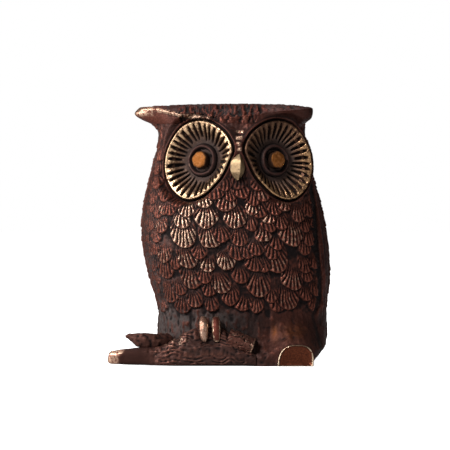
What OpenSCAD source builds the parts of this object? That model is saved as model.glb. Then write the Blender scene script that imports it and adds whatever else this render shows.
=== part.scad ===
// Owl figurine on a broken branch: a hollow brass casting in two halves with a
// crown, dished face discs, collared eyes, a beak and toes fitted into it.
// Millimetres, +Z up. The owl looks along -Y. The origin is the centre of the flat base,
// under the middle of the box round the figure. Right and left are the owl's own.

/* [Figure] */
// Height of the whole figure
figure_h = 76; // [64:1:92]
// Width from the branch tip to the far flank
figure_w = 64.4; // [58:0.2:78]
// Depth from the front of the branch to the back of the wings
figure_d = 43; // [38:0.5:52]
// Widest part of the body
body_w = 54; // [46:0.5:60]
// Thickness of the cast walls and floor
wall_t = 4; // [3:0.1:5]
// Thickness of the head's wall, which holds the eyes
head_wall_t = 9; // [8:0.1:10]
// Thickness of the wall behind the branch
base_wall_t = 7; // [6:0.1:8.5]

/* [Crown] */
// Height of the crown over its flat seat
crown_h = 6; // [5:0.1:8]
// Reach of the right ear tuft past the head
tuft_right_reach = 7.2; // [4:0.1:10]
// Reach of the left ear tuft past the head
tuft_left_reach = 3.4; // [2:0.1:8]
// Radius of the two crown spigots
crown_pin_r = 2; // [1.5:0.1:2.5]
// Length of the crown spigots below the seat
crown_pin_l = 3.5; // [2.5:0.1:5]

/* [Face] */
// Distance of the face discs' middle below the crown's seat
eye_drop = 10.4; // [9:0.1:13]
// Angle that each face disc turns outwards
eye_turn = 30; // [22:1:34]
// Angle that each face disc leans back at its top
eye_lean_back = 6; // [0:1:10]
// Long radius of a face disc
disc_long_r = 12; // [10.5:0.1:12.5]
// Short radius of a face disc
disc_short_r = 10.3; // [9.6:0.1:10.7]
// Lean of the disc's long radius towards the beak at its top
disc_lean = 40; // [20:1:50]
// Thickness of a face disc at its rim
disc_t = 4.6; // [4.2:0.1:5.4]
// Depth of the dish in a face disc
dish_t = 3.2; // [2.4:0.1:3.6]
// Radius of the flange round an eye
collar_r = 4.7; // [4.2:0.1:5.4]
// Radius of the eye socket inside the flange
socket_r = 3.6; // [3.2:0.1:3.9]
// Radius of the collar's shank
collar_shank_r = 2.9; // [2.6:0.1:3.3]
// Radius of the visible head of a pupil pin
pupil_r = 2.4; // [1.8:0.1:2.7]
// Radius of a pupil pin's shank
pupil_shank_r = 1.3; // [1:0.1:1.6]
// Width of the beak
beak_w = 4.7; // [4:0.1:6]
// Height of the beak
beak_h = 8.6; // [7:0.1:10]
// Radius of the beak's spigot
beak_pin_r = 1.3; // [1:0.1:1.7]

/* [Branch] */
// Height of the branch where the toes hold it
branch_h = 11.2; // [9:0.1:13]
// How far the branch runs past the middle of the body
branch_past = 5.8; // [3:0.1:8]
// Length of the branch's thick part, which the toes hold
log_l = 23; // [20:0.1:26]
// Width of the sawn stub
stub_w = 10.4; // [9:0.1:12]
// Height of the sawn stub
stub_h = 6.2; // [5:0.1:8]
// Width of each toe
toe_w = 2.4; // [2:0.1:2.8]
// Height of each toe
toe_h = 7.4; // [6:0.1:8.5]
// Distance between the two toes
toe_gap = 3.6; // [3.2:0.1:4.5]

/* [Fixings] */
// Radius of the pins across the seam of the two halves
seam_pin_r = 0.9; // [0.7:0.05:1.2]
// Length of a seam pin
seam_pin_l = 8; // [6:0.5:10]
// Radius of the screws that hold the branch
screw_r = 1.25; // [1:0.05:1.5]
// Length of a screw under its head
screw_l = 5.6; // [5:0.1:6.5]
// Radius of a screw head
screw_head_r = 2.2; // [1.8:0.1:2.6]
// Gap round every fitted piece
fit_gap = 0.05; // [0.03:0.01:0.1]

/* [Hidden] */

BROWN = "#4a2c26";
GREY = "#4c4440";
GOLD = "#b98a4e";
ORANGE = "#a8662c";
STEEL = "#8a8a86";
EPS = 0.01;

// The body's outline. Each row is [share of the seat height, half width and sideways sway as
// shares of half the body width, front and back depth as shares of half the body depth].
OUTLINE = [
    [0.000, 0.84, 0.045, 0.86, 0.78],
    [0.065, 0.90, 0.065, 0.87, 0.86],
    [0.240, 0.91, 0.070, 0.86, 0.91],
    [0.350, 0.97, 0.045, 0.93, 0.97],
    [0.455, 1.00, 0.010, 0.99, 1.00],
    [0.570, 0.99, -0.022, 1.00, 0.97],
    [0.735, 0.91, -0.042, 0.95, 0.87],
    [0.835, 0.84, -0.045, 0.91, 0.81],
    [0.920, 0.81, -0.040, 0.88, 0.78],
    [1.000, 0.79, -0.040, 0.84, 0.75]
];
ROUNDNESS = 2.4;         // exponent of the superellipse of each level section
BODY_ROWS = 20;
HALF_COLS = 24;          // facets round each half of the body
CROWN_ROWS = 12;
CROWN_COLS = 48;

seat_z = figure_h - crown_h;
half_w = body_w / 2;
body_y = 1;
half_d = figure_d / 2 - body_y;            // the branch and beak stand in front of the breast
tuft_right_turn = -84;                     // direction of each ear tuft, from -Y towards +X
tuft_left_turn = 62;
tuft_spread = 17;

function lerp(a, b, t) = a + (b - a) * t;
function ease(t) = t * t * (3 - 2 * t);
function clamp01(t) = max(0, min(1, t));
function sgn_pow(v, p) = sign(v) * pow(abs(v), p);

// Value k of OUTLINE at height share t, on a smooth curve through the rows.
function slope(i, k) =
    let (a = max(0, i - 1), b = min(len(OUTLINE) - 1, i + 1))
    (OUTLINE[b][k] - OUTLINE[a][k]) / (OUTLINE[b][0] - OUTLINE[a][0]);
function row_of(t) =
    max([for (i = [0 : len(OUTLINE) - 2]) if (t >= OUTLINE[i][0] || i == 0) i]);
function outline(t, k) =
    let (
        i = row_of(t),
        h = OUTLINE[i + 1][0] - OUTLINE[i][0],
        u = clamp01((t - OUTLINE[i][0]) / h)
    )
    OUTLINE[i][k] * (1 + 2 * u) * (1 - u) * (1 - u)
    + OUTLINE[i + 1][k] * u * u * (3 - 2 * u)
    + h * slope(i, k) * u * (1 - u) * (1 - u)
    - h * slope(i + 1, k) * u * u * (1 - u);

// The left flank sways out to the side of the figure's box.
flank = max([for (i = [0 : BODY_ROWS]) outline(i / BODY_ROWS, 1) + outline(i / BODY_ROWS, 2)]);
body_x = figure_w / 2 - half_w * flank;
face_x = body_x + 0.8;

// How far the ear tufts pull the surface out at height z, in direction a.
tuft_low_z = seat_z - 4.5;
function tuft_rise(z) =
    let (t = clamp01((z - tuft_low_z) / (figure_h - tuft_low_z)))
    pow(sin(180 * pow(t, 1.35)), 0.8);
function bump(a, at) = exp(-pow((a - at) / tuft_spread, 2));
function tuft(a, z) =
    tuft_rise(z) * (tuft_right_reach * bump(a, tuft_right_turn) + tuft_left_reach * bump(a, tuft_left_turn));

// A point of the body at angle a from -Y towards +X, at height z, moved in by inset.
function body_point(a, z, inset = 0, tufts = true) =
    let (
        t = z / seat_z,
        s = sin(a),
        c = cos(a),
        w = half_w * outline(t, 1) - inset,
        d = half_d * outline(t, c > 0 ? 3 : 4) - inset,
        out = tufts ? tuft(a, z) : 0
    )
    [
        body_x + half_w * outline(t, 2) + w * sgn_pow(s, 2 / ROUNDNESS) + out * s,
        body_y - d * sgn_pow(c, 2 / ROUNDNESS) - out * c,
        z
    ];

// The wall is thicker in the head and behind the branch, and the cavity narrows into both.
function inset_at(z) =
    wall_t
    + (head_wall_t - wall_t) * ease(clamp01((z / seat_z - 0.5) / 0.2))
    + (base_wall_t - wall_t) * ease(clamp01((0.34 - z / seat_z) / 0.12));

body_floor = [body_x, body_y, 0];
body_deck = [body_x, body_y, seat_z];
cavity_top_z = seat_z - head_wall_t;
cavity_floor = [body_x, body_y, wall_t];
cavity_top = [body_x, body_y, cavity_top_z];

function outer_rows(a0) = [
    for (i = [0 : BODY_ROWS]) let (z = seat_z * i / BODY_ROWS)
        [for (j = [0 : HALF_COLS]) body_point(a0 + 180 * j / HALF_COLS, z)]
];
function inner_rows(a0) = [
    for (i = [0 : BODY_ROWS]) let (z = lerp(wall_t, cavity_top_z, i / BODY_ROWS))
        [for (j = [0 : HALF_COLS]) body_point(a0 + 180 * j / HALF_COLS, z, inset_at(z), false)]
];

// Triangles of a grid of points, numbered row by row from first.
function grid(first, rows, cols, flip) = [
    for (i = [0 : rows - 1], j = [0 : cols - 1], k = [0, 1])
        let (
            a = first + i * (cols + 1) + j,
            b = a + 1,
            c = a + cols + 1,
            d = c + 1,
            f = k == 0 ? [a, c, b] : [b, c, d]
        )
        flip ? [f[0], f[2], f[1]] : f
];
function fan(pole, first, cols, flip) = [
    for (j = [0 : cols - 1]) flip ? [pole, first + j + 1, first + j] : [pole, first + j, first + j + 1]
];
// Closes the seam between an outer and an inner column of points.
function seam(outer, inner, flip) = [
    for (i = [0 : len(outer) - 2], k = [0, 1])
        let (f = k == 0 ? [outer[i], inner[i], outer[i + 1]] : [outer[i + 1], inner[i], inner[i + 1]])
        flip ? [f[0], f[2], f[1]] : f
];

// Half of the hollow body, from angle a0 to a0 + 180, with its floor and its flat top.
module half_shell(a0) {
    n = (BODY_ROWS + 1) * (HALF_COLS + 1);
    last = BODY_ROWS * (HALF_COLS + 1);
    poles = 2 * n;
    points = [
        for (row = outer_rows(a0)) each row,
        for (row = inner_rows(a0)) each row,
        body_floor, body_deck, cavity_floor, cavity_top
    ];
    outer_first = [poles, for (i = [0 : BODY_ROWS]) i * (HALF_COLS + 1), poles + 1];
    outer_last = [poles, for (i = [0 : BODY_ROWS]) i * (HALF_COLS + 1) + HALF_COLS, poles + 1];
    inner_first = [poles + 2, for (i = [0 : BODY_ROWS]) n + i * (HALF_COLS + 1), poles + 3];
    inner_last = [poles + 2, for (i = [0 : BODY_ROWS]) n + i * (HALF_COLS + 1) + HALF_COLS, poles + 3];
    polyhedron(points, concat(
        grid(0, BODY_ROWS, HALF_COLS, false),
        fan(poles, 0, HALF_COLS, false),
        fan(poles + 1, last, HALF_COLS, true),
        grid(n, BODY_ROWS, HALF_COLS, true),
        fan(poles + 2, n, HALF_COLS, true),
        fan(poles + 3, n + last, HALF_COLS, false),
        seam(outer_first, inner_first, false),
        seam(outer_last, inner_last, true)
    ));
}

// The discs stand as far apart as the beak between them needs.
eye_z = seat_z - eye_drop;
disc_half_w = sqrt(pow(disc_long_r * sin(disc_lean), 2) + pow(disc_short_r * cos(disc_lean), 2));
eye_spread = disc_half_w * cos(eye_turn) + beak_w * 0.48;

// Frame of each eye: origin in the rim's plane, +Z out of the face, +Y up.
eye_y = body_point(0, eye_z)[1] + 2.7;
module at_eye(side) {
    translate([face_x + side * eye_spread, eye_y, eye_z])
        rotate([90 - eye_lean_back, 0, side * eye_turn])
            children();
}
module disc_outline(side, grow = 0) {
    rotate(side * disc_lean)
        scale([disc_short_r + grow, disc_long_r + grow, 1])
            children();
}
rim_w = 1.2;
rim_t = 1.6;
back_share = 0.8;        // size of the disc's back, behind its rim, as a share of the rim
dish_floor = -dish_t;
dish_floor_share = (collar_r + 0.15) / (disc_short_r - rim_w);
collar_flange_t = 1.3;
collar_l = 4.2;
socket_floor = dish_floor + 0.15;
pupil_t = 2.5;
pupil_shank_l = 3.6;

// The disc's solid: a rim, and a smaller back that stays clear of the other eye.
module disc_blank(side, grow = 0, over = 0) {
    translate([0, 0, -rim_t - grow])
        linear_extrude(rim_t + grow + over)
            disc_outline(side, grow)
                circle(r = 1, $fn = 96);
    translate([0, 0, -disc_t - grow])
        linear_extrude(disc_t - rim_t + grow + EPS)
            disc_outline(side, grow)
                circle(r = back_share, $fn = 96);
}

// The pocket for a disc and its collar, open to the front.
module eye_seat(side) {
    at_eye(side) {
        disc_blank(side, fit_gap, 9);
        translate([0, 0, dish_floor - collar_l - fit_gap])
            cylinder(r = collar_shank_r + fit_gap, h = collar_l, $fn = 48);
    }
}

// A dish with a raised rim, whose floor is flat under the eye collar.
module face_disc(side) {
    color(GOLD)
        at_eye(side)
            difference() {
                disc_blank(side);
                translate([0, 0, dish_floor])
                    disc_outline(side, -rim_w)
                        cylinder(r1 = dish_floor_share, r2 = 1 + EPS, h = dish_t + EPS, $fn = 96);
                translate([0, 0, -disc_t - 1])
                    cylinder(r = collar_shank_r + fit_gap, h = disc_t + 2, $fn = 48);
            }
}

module eye_collar(side) {
    color(GREY)
        at_eye(side)
            difference() {
                union() {
                    translate([0, 0, dish_floor + fit_gap])
                        cylinder(r = collar_r, h = collar_flange_t, $fn = 64);
                    translate([0, 0, dish_floor - collar_l])
                        cylinder(r = collar_shank_r, h = collar_l + 1, $fn = 48);
                }
                translate([0, 0, socket_floor])
                    cylinder(r = socket_r, h = collar_flange_t + 1, $fn = 48);
                translate([0, 0, dish_floor - collar_l - 1])
                    cylinder(r = pupil_shank_r + fit_gap, h = collar_l + 3, $fn = 32);
            }
}

module pupil_pin(side) {
    color(ORANGE)
        at_eye(side)
            translate([0, 0, socket_floor + fit_gap]) {
                cylinder(r = pupil_r, h = pupil_t, $fn = 48);
                translate([0, 0, -pupil_shank_l])
                    cylinder(r = pupil_shank_r, h = pupil_shank_l + 1, $fn = 32);
            }
}

// The beak hangs over the bridge between the discs, on a spigot.
beak_z = eye_z - 1.8;
beak_back_y = body_point(0, beak_z)[1];
beak_front_y = -figure_d / 2;
beak_pin_depth = 4.5;
module beak_pin(grow = 0) {
    translate([face_x, beak_back_y - 1, beak_z])
        rotate([-90, 0, 0])
            cylinder(r = beak_pin_r + grow, h = beak_pin_depth + 1 + grow, $fn = 32);
}
// A corner of the beak, as shares of half its width, of its depth and of half its height.
module beak_corner(across, depth, up, r, grow) {
    translate([
        face_x + across * (beak_w / 2 - r),
        lerp(beak_front_y + r, beak_back_y, depth),
        beak_z + up * (beak_h / 2 - r)
    ])
        sphere(r = r + grow, $fn = 20);
}
module beak_block(grow = 0) {
    hull() {
        beak_corner(0, 0.72, 1, 0.6, grow);
        beak_corner(0, 0, -0.2, 0.7, grow);
        beak_corner(0, 0.3, -1, 0.7, grow);
        beak_corner(0, 1.1, 0.2, 0.9, grow);
        beak_corner(-1, 0.26, -0.15, 0.4, grow);
        beak_corner(1, 0.26, -0.15, 0.4, grow);
    }
}
module beak() {
    color(GOLD) {
        beak_block();
        beak_pin();
    }
}

// The branch lies against a flat landing on the front casting.
landing_y = body_point(0, 0)[1] + 3;
branch_front_y = -figure_d / 2;
branch_x0 = -figure_w / 2;
branch_x1 = body_x + branch_past;
log_x0 = branch_x1 - log_l;
landing_h = branch_h + 0.8;
module landing() {
    translate([branch_x0, branch_front_y - 10, -1])
        cube([branch_x1 - branch_x0 + 0.8, landing_y - branch_front_y + 10, landing_h + 1]);
}

// Rows of the branch. The first value is 0 at its tip, 1 where its thick part starts and 2 at its
// broken end. Then come its top as a share of branch_h, and where its front and its back stand,
// as shares of the room between the box's front and the landing.
BRANCH_ROWS = [
    [0.00, 0.17, 0.33, 0.47],
    [0.02, 0.27, 0.24, 0.56],
    [0.06, 0.35, 0.18, 0.61],
    [0.17, 0.42, 0.14, 0.66],
    [0.43, 0.47, 0.10, 0.72],
    [0.78, 0.50, 0.07, 0.86],
    [1.00, 0.72, 0.03, 1.00],
    [1.19, 0.93, 0.01, 1.00],
    [1.41, 1.00, 0.00, 1.00],
    [1.63, 0.96, 0.01, 1.00],
    [1.74, 0.72, 0.03, 1.00],
    [1.89, 0.48, 0.06, 1.00],
    [2.00, 0.36, 0.12, 1.00]
];
function branch_x(s) = s < 1 ? lerp(branch_x0, log_x0, s) : lerp(log_x0, branch_x1, s - 1);
BRANCH_SIDES = 16;
branch_t = landing_y - branch_front_y - fit_gap;
function branch_ring(row) = [
    for (k = [0 : BRANCH_SIDES - 1])
        let (
            a = 180 * k / (BRANCH_SIDES - 1),
            y0 = branch_front_y + row[2] * branch_t,
            y1 = branch_front_y + row[3] * branch_t,
            mid = (y0 + y1) / 2
        )
        [
            branch_x(row[0]),
            mid - (y1 - y0) / 2 * sgn_pow(cos(a), 0.7),
            row[1] * branch_h * sgn_pow(sin(a), 0.7)
        ]
];
module branch_body() {
    n = BRANCH_SIDES;
    m = len(BRANCH_ROWS);
    points = [for (row = BRANCH_ROWS) each branch_ring(row)];
    polyhedron(points, concat(
        [for (i = [0 : m - 2], k = [0 : n - 1], h = [0, 1])
            let (a = i * n + k, b = i * n + (k + 1) % n, c = a + n, d = b + n)
            h == 0 ? [a, b, c] : [b, d, c]],
        [[for (k = [n - 1 : -1 : 0]) k]],
        [[for (k = [0 : n - 1]) (m - 1) * n + k]]
    ));
}

// The twig forks off the branch near its tip, and is pinned down into it.
twig_y = landing_y - branch_t * 0.4;
twig_root = [branch_x(0.70), twig_y, branch_h * 0.6];
twig_mid = [branch_x(0.44), twig_y, branch_h * 0.65];
twig_tip = [branch_x(0.25), twig_y, branch_h * 0.745];
twig_pin_r = 1;
module twig_pin(grow = 0) {
    translate([twig_root[0], twig_y, 1.5 - grow])
        cylinder(r = twig_pin_r + grow, h = twig_root[2] - 1.5, $fn = 32);
}
module twig_block(grow = 0) {
    hull() {
        translate(twig_root)
            sphere(r = 2.4 + grow, $fn = 20);
        translate(twig_mid)
            sphere(r = 1.7 + grow, $fn = 20);
    }
    hull() {
        translate(twig_mid)
            sphere(r = 1.7 + grow, $fn = 20);
        translate(twig_tip)
            sphere(r = 0.5 + grow, $fn = 16);
    }
}
module branch_twig() {
    color(BROWN) {
        twig_block();
        twig_pin();
    }
}

// The chunk is the branch's broken end, let into its upper side with a pin of its own.
chunk_l = 7.4;
chunk_r = 2.5;
chunk_droop = 20;
chunk_start = [branch_x1 - 7.1, branch_front_y + chunk_r + 0.3, branch_h * 0.72];
chunk_pin_r = 1;
chunk_pin_l = 2.4;
module chunk_block(grow = 0, over = 0) {
    translate(chunk_start)
        rotate([0, 90 + chunk_droop, 0]) {
            translate([0, 0, -grow])
                cylinder(r = chunk_r + grow, h = chunk_l + grow + over, $fn = 48);
            translate([0, 0, -chunk_pin_l - grow])
                cylinder(r = chunk_pin_r + grow, h = chunk_pin_l + 1, $fn = 32);
        }
}
module branch_chunk() {
    color(BROWN)
        chunk_block();
}

// A sawn stub that points out of the front casting beside the branch, flat on the base.
stub_x = body_x + half_w * 0.635;
stub_front_y = branch_front_y + 0.8;
stub_l = 9.5;
module stub_block(grow = 0) {
    translate([stub_x, stub_front_y, 0.3])
        rotate([-90, 0, 0])
            scale([stub_w / 2 + grow, stub_h - 0.3 + grow, 1])
                cylinder(r = 1, h = stub_l + grow, $fn = 64);
}
module branch_stub() {
    color(ORANGE)
        intersection() {
            stub_block();
            translate([0, stub_front_y - 1, 0])
                cube([figure_w, stub_l + 5, figure_h]);
        }
}

// Two toes hook over the branch, each on a pin into it.
toe_x = branch_x(1.42);
toe_z = branch_h * 0.93;
toe_pin_r = 0.6;
toe_pin_l = 3;
toe_front_y = branch_front_y + 0.7;
module toe_pin(x, grow = 0) {
    translate([x, toe_front_y + 1, toe_z - 1.5])
        rotate([-90, 0, 0])
            cylinder(r = toe_pin_r + grow, h = toe_pin_l + grow, $fn = 24);
}
module toe_block(x, grow = 0) {
    r = toe_w / 2 + grow;
    hull() {
        translate([x, toe_front_y + 2.2, toe_z + toe_h / 2 - toe_w / 2])
            sphere(r = r, $fn = 20);
        translate([x, toe_front_y + 1.2, toe_z])
            sphere(r = r, $fn = 20);
        translate([x, toe_front_y + 1.1, toe_z - toe_h / 2 + toe_w * 0.4])
            sphere(r = r * 0.8, $fn = 20);
    }
}
module toe(x) {
    color(GOLD) {
        toe_block(x);
        toe_pin(x);
    }
}

// Screws from inside the body hold the branch before the two halves are closed.
screw_z = wall_t + screw_head_r + 1;
screw_xs = [branch_x(1.26), branch_x(1.58)];
screw_head_t = 1.5;
screw_reach = 2.8;
screw_tip_y = landing_y - screw_reach;
module screw(x, grow = 0, head = true) {
    translate([x, screw_tip_y - grow, screw_z])
        rotate([-90, 0, 0]) {
            cylinder(r = screw_r + grow, h = screw_l + 2 * grow, $fn = 32);
            if (head)
                translate([0, 0, screw_l])
                    cylinder(r = screw_head_r, h = screw_head_t, $fn = 32);
        }
}
module screw_bores() {
    for (x = screw_xs) {
        screw(x, fit_gap, false);
        translate([x, screw_tip_y + screw_l, screw_z])
            rotate([-90, 0, 0])
                cylinder(r = screw_head_r + 0.3, h = 12, $fn = 32);
    }
}
module branch_screws() {
    color(STEEL)
        for (x = screw_xs)
            screw(x);
}

// Pins across the seam, in the middle of the wall.
SEAM_PIN_HEIGHTS = [0.12, 0.45, 0.8];
module seam_pin_places() {
    for (share = SEAM_PIN_HEIGHTS, a = [-90, 90])
        let (z = share * seat_z, inset = inset_at(z) / 2)
            translate(body_point(a, z, inset, false))
                rotate([90, 0, 0])
                    children();
}
module seam_bores() {
    seam_pin_places()
        cylinder(r = seam_pin_r + fit_gap, h = seam_pin_l + 2 * fit_gap, center = true, $fn = 32);
}
module seam_pins() {
    color(STEEL)
        seam_pin_places()
            cylinder(r = seam_pin_r, h = seam_pin_l, center = true, $fn = 32);
}

// The crown: the forehead, the flat top of the head and both ear tufts, on two spigots.
crown_pin_y = 8;
function brow_z(s) = seat_z + crown_h * (0.3 + 0.48 * pow(abs(s), s > 0 ? 1.4 : 3));
function crown_point(a, i) =
    let (
        u = i / CROWN_ROWS,
        wall = clamp01(u / 0.5),
        dome = clamp01((u - 0.5) / 0.5),
        rim_z = brow_z(sin(a)),
        z = lerp(seat_z, rim_z, wall) + (figure_h - rim_z) * sin(90 * dome),
        rim = body_point(a, seat_z, 0, false),
        out = tuft(a, lerp(seat_z, figure_h - 0.6, 0.62 * wall + 0.38 * ease(dome))),
        share = 1 - pow(dome, 1.7)
    )
    [
        lerp(body_x, rim[0] + out * sin(a), share),
        lerp(body_y, rim[1] - out * cos(a), share),
        z
    ];
module crown() {
    n = CROWN_COLS;
    rows = CROWN_ROWS - 1;
    points = [
        for (i = [0 : rows], j = [0 : n - 1]) crown_point(-180 + 360 * j / n, i),
        body_deck,
        [body_x, body_y, figure_h]
    ];
    color(BROWN) {
        difference() {
            polyhedron(points, concat(
                [for (i = [0 : rows - 1], j = [0 : n - 1], k = [0, 1])
                    let (a = i * n + j, b = i * n + (j + 1) % n, c = a + n, d = b + n)
                    k == 0 ? [a, c, b] : [b, c, d]],
                [for (j = [0 : n - 1]) [len(points) - 2, j, (j + 1) % n]],
                [for (j = [0 : n - 1]) [len(points) - 1, rows * n + (j + 1) % n, rows * n + j]]
            ));
            for (side = [-1, 1])
                eye_seat(side);
        }
        crown_pins();
    }
}
module crown_pins(grow = 0) {
    for (side = [-1, 1])
        translate([body_x, body_y + side * crown_pin_y, seat_z - crown_pin_l - grow])
            cylinder(r = crown_pin_r + grow, h = crown_pin_l + 1, $fn = 48);
}

module front_casting() {
    color(BROWN)
        difference() {
            half_shell(-90);
            for (side = [-1, 1])
                eye_seat(side);
            beak_block(fit_gap);
            beak_pin(fit_gap);
            landing();
            stub_block(fit_gap);
            screw_bores();
            seam_bores();
            crown_pins(fit_gap);
        }
}
module back_casting() {
    color(GREY)
        difference() {
            half_shell(90);
            seam_bores();
            crown_pins(fit_gap);
        }
}
module branch() {
    color(BROWN)
        difference() {
            branch_body();
            chunk_block(fit_gap, 4);
            twig_block(fit_gap);
            twig_pin(fit_gap);
            for (x = screw_xs)
                screw(x, fit_gap, false);
            for (x = [toe_x - toe_gap / 2, toe_x + toe_gap / 2]) {
                toe_block(x, fit_gap);
                toe_pin(x, fit_gap);
            }
        }
}

front_casting();
back_casting();
crown();
face_disc(-1);  // face_disc_right
face_disc(1);  // face_disc_left
eye_collar(-1);  // eye_collar_right
eye_collar(1);  // eye_collar_left
pupil_pin(-1);  // pupil_pin_right
pupil_pin(1);  // pupil_pin_left
beak();
branch();
branch_twig();
branch_chunk();
branch_stub();
toe(toe_x - toe_gap / 2);  // toe_outer
toe(toe_x + toe_gap / 2);  // toe_inner
seam_pins();
branch_screws();
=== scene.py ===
"""Looks of the owl figurine: patinated brass, grey in its recesses and worn bright on its edges,
with painted highlights on its lit side and painted shade under the beak and behind the branch.

Shapes are worked out in millimetres and become metres when a mesh is made. +Z is up and the
owl looks along -Y. Right and left in names are the owl's own. Angles round the body run from
-Y towards +X, in degrees.
"""

import bmesh
import bpy
import numpy as np
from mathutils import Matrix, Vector


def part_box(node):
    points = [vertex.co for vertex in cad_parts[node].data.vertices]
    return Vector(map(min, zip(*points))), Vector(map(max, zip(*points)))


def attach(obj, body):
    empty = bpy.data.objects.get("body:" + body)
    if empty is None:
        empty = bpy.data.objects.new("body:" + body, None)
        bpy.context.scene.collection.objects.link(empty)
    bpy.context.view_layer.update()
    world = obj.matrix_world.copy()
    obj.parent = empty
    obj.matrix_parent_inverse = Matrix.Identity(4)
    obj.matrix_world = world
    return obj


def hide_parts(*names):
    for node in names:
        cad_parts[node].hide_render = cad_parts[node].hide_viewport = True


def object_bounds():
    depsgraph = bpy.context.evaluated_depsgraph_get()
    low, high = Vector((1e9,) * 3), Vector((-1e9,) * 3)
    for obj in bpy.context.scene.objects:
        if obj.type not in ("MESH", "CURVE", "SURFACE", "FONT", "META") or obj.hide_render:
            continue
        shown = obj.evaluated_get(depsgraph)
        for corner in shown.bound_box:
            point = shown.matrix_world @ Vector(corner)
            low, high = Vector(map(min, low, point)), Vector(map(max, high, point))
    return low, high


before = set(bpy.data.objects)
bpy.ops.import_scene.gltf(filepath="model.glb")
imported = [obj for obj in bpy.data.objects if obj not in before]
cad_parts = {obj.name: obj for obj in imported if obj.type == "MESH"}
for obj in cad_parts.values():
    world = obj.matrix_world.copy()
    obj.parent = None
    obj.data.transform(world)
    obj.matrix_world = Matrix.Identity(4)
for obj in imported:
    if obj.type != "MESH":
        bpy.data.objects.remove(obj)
cad_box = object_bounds()

MM = 0.001
rng = np.random.default_rng(11)
LATTICE = rng.random((32, 32, 32))

# -------- sizes

LOW, HIGH = (np.array(corner) / MM for corner in cad_box)
SEAT_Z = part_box("front_casting")[1].z / MM
BODY_Y = 1.0
HALF_W = 27.0
HALF_D = HIGH[1] - BODY_Y
ROUNDNESS = 2.4
WALL_T = 4.0
HEAD_WALL_T = 9.0

# Rows of the body's outline: share of the seat height, half width and sideways sway as shares
# of half the body width, front and back depth as shares of half the body depth.
OUTLINE = np.array([
    [0.000, 0.84, 0.045, 0.86, 0.78],
    [0.065, 0.90, 0.065, 0.87, 0.86],
    [0.240, 0.91, 0.070, 0.86, 0.91],
    [0.350, 0.97, 0.045, 0.93, 0.97],
    [0.455, 1.00, 0.010, 0.99, 1.00],
    [0.570, 0.99, -0.022, 1.00, 0.97],
    [0.735, 0.91, -0.042, 0.95, 0.87],
    [0.835, 0.84, -0.045, 0.91, 0.81],
    [0.920, 0.81, -0.040, 0.88, 0.78],
    [1.000, 0.79, -0.040, 0.84, 0.75],
])


# -------- small tools

def box(name):
    """Low and high corner of a CAD node's box, in millimetres."""
    return [np.array(corner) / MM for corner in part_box(name)]


def sin_deg(angle):
    return np.sin(np.radians(angle))


def cos_deg(angle):
    return np.cos(np.radians(angle))


def wrapped(angle):
    """The same direction as an angle from -180 to 180."""
    return (angle + 180) % 360 - 180


def ramp(x, start, end):
    """0 before start, 1 after end, smooth between. start may be above end."""
    t = np.clip((x - start) / (end - start), 0, 1)
    return t * t * (3 - 2 * t)


def hump(x, width):
    return np.exp(-((x / width) ** 2))


def noise(points, scale):
    """Smooth noise from -1 to 1 at points in millimetres, with features of about scale."""
    q = np.asarray(points, float) / scale
    cell = np.floor(q).astype(int)
    f = q - cell
    f = f * f * (3 - 2 * f)
    total = 0.0
    for corner in range(8):
        step = np.array([(corner >> k) & 1 for k in range(3)])
        weight = np.prod(np.where(step == 1, f, 1 - f), axis=-1)
        i = (cell + step) % 32
        total = total + weight * LATTICE[i[..., 0], i[..., 1], i[..., 2]]
    return total * 2 - 1


def noise_at(x, y, z, scale):
    return noise(np.stack(np.broadcast_arrays(x, y, z), axis=-1), scale)


def smooth_curve(x, knots, values):
    """A smooth curve through values at knots."""
    knots, values = np.asarray(knots, float), np.asarray(values, float)
    slopes = np.gradient(values, knots)
    i = np.clip(np.searchsorted(knots, x, side="right") - 1, 0, len(knots) - 2)
    h = knots[i + 1] - knots[i]
    u = np.clip((x - knots[i]) / h, 0, 1)
    return (
        values[i] * (1 + 2 * u) * (1 - u) ** 2
        + values[i + 1] * u * u * (3 - 2 * u)
        + h * slopes[i] * u * (1 - u) ** 2
        - h * slopes[i + 1] * u * u * (1 - u)
    )


def blur(field, radius, wrap=False):
    """Box blur of a grid, twice each way."""
    for axis in (0, 1):
        for _ in range(2):
            mode = "wrap" if wrap and axis == 1 else "edge"
            pad = [(0, 0), (0, 0)]
            pad[axis] = (radius + 1, radius)
            total = np.cumsum(np.pad(field, pad, mode=mode), axis=axis)
            n = field.shape[axis]
            high = np.take(total, np.arange(2 * radius + 1, 2 * radius + 1 + n), axis=axis)
            low = np.take(total, np.arange(n), axis=axis)
            field = (high - low) / (2 * radius + 1)
    return field


def unit(vectors):
    return vectors / np.maximum(np.linalg.norm(vectors, axis=-1, keepdims=True), 1e-9)


def normals(points, wrap=False):
    """Unit normals of a grid of points whose rows go up and whose columns go round."""
    if wrap:
        wide = np.concatenate([points[:, -2:], points, points[:, :2]], axis=1)
        across = np.gradient(wide, axis=1)[:, 2:-2]
    else:
        across = np.gradient(points, axis=1)
    return unit(np.cross(across, np.gradient(points, axis=0)))


# -------- the body's base surface

def outline(z, column):
    return smooth_curve(z / SEAT_Z, OUTLINE[:, 0], OUTLINE[:, column])


heights = np.linspace(0, SEAT_Z, 21)
BODY_X = HIGH[0] - HALF_W * np.max(outline(heights, 1) + outline(heights, 2))
FACE_X = BODY_X + 0.8

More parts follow.
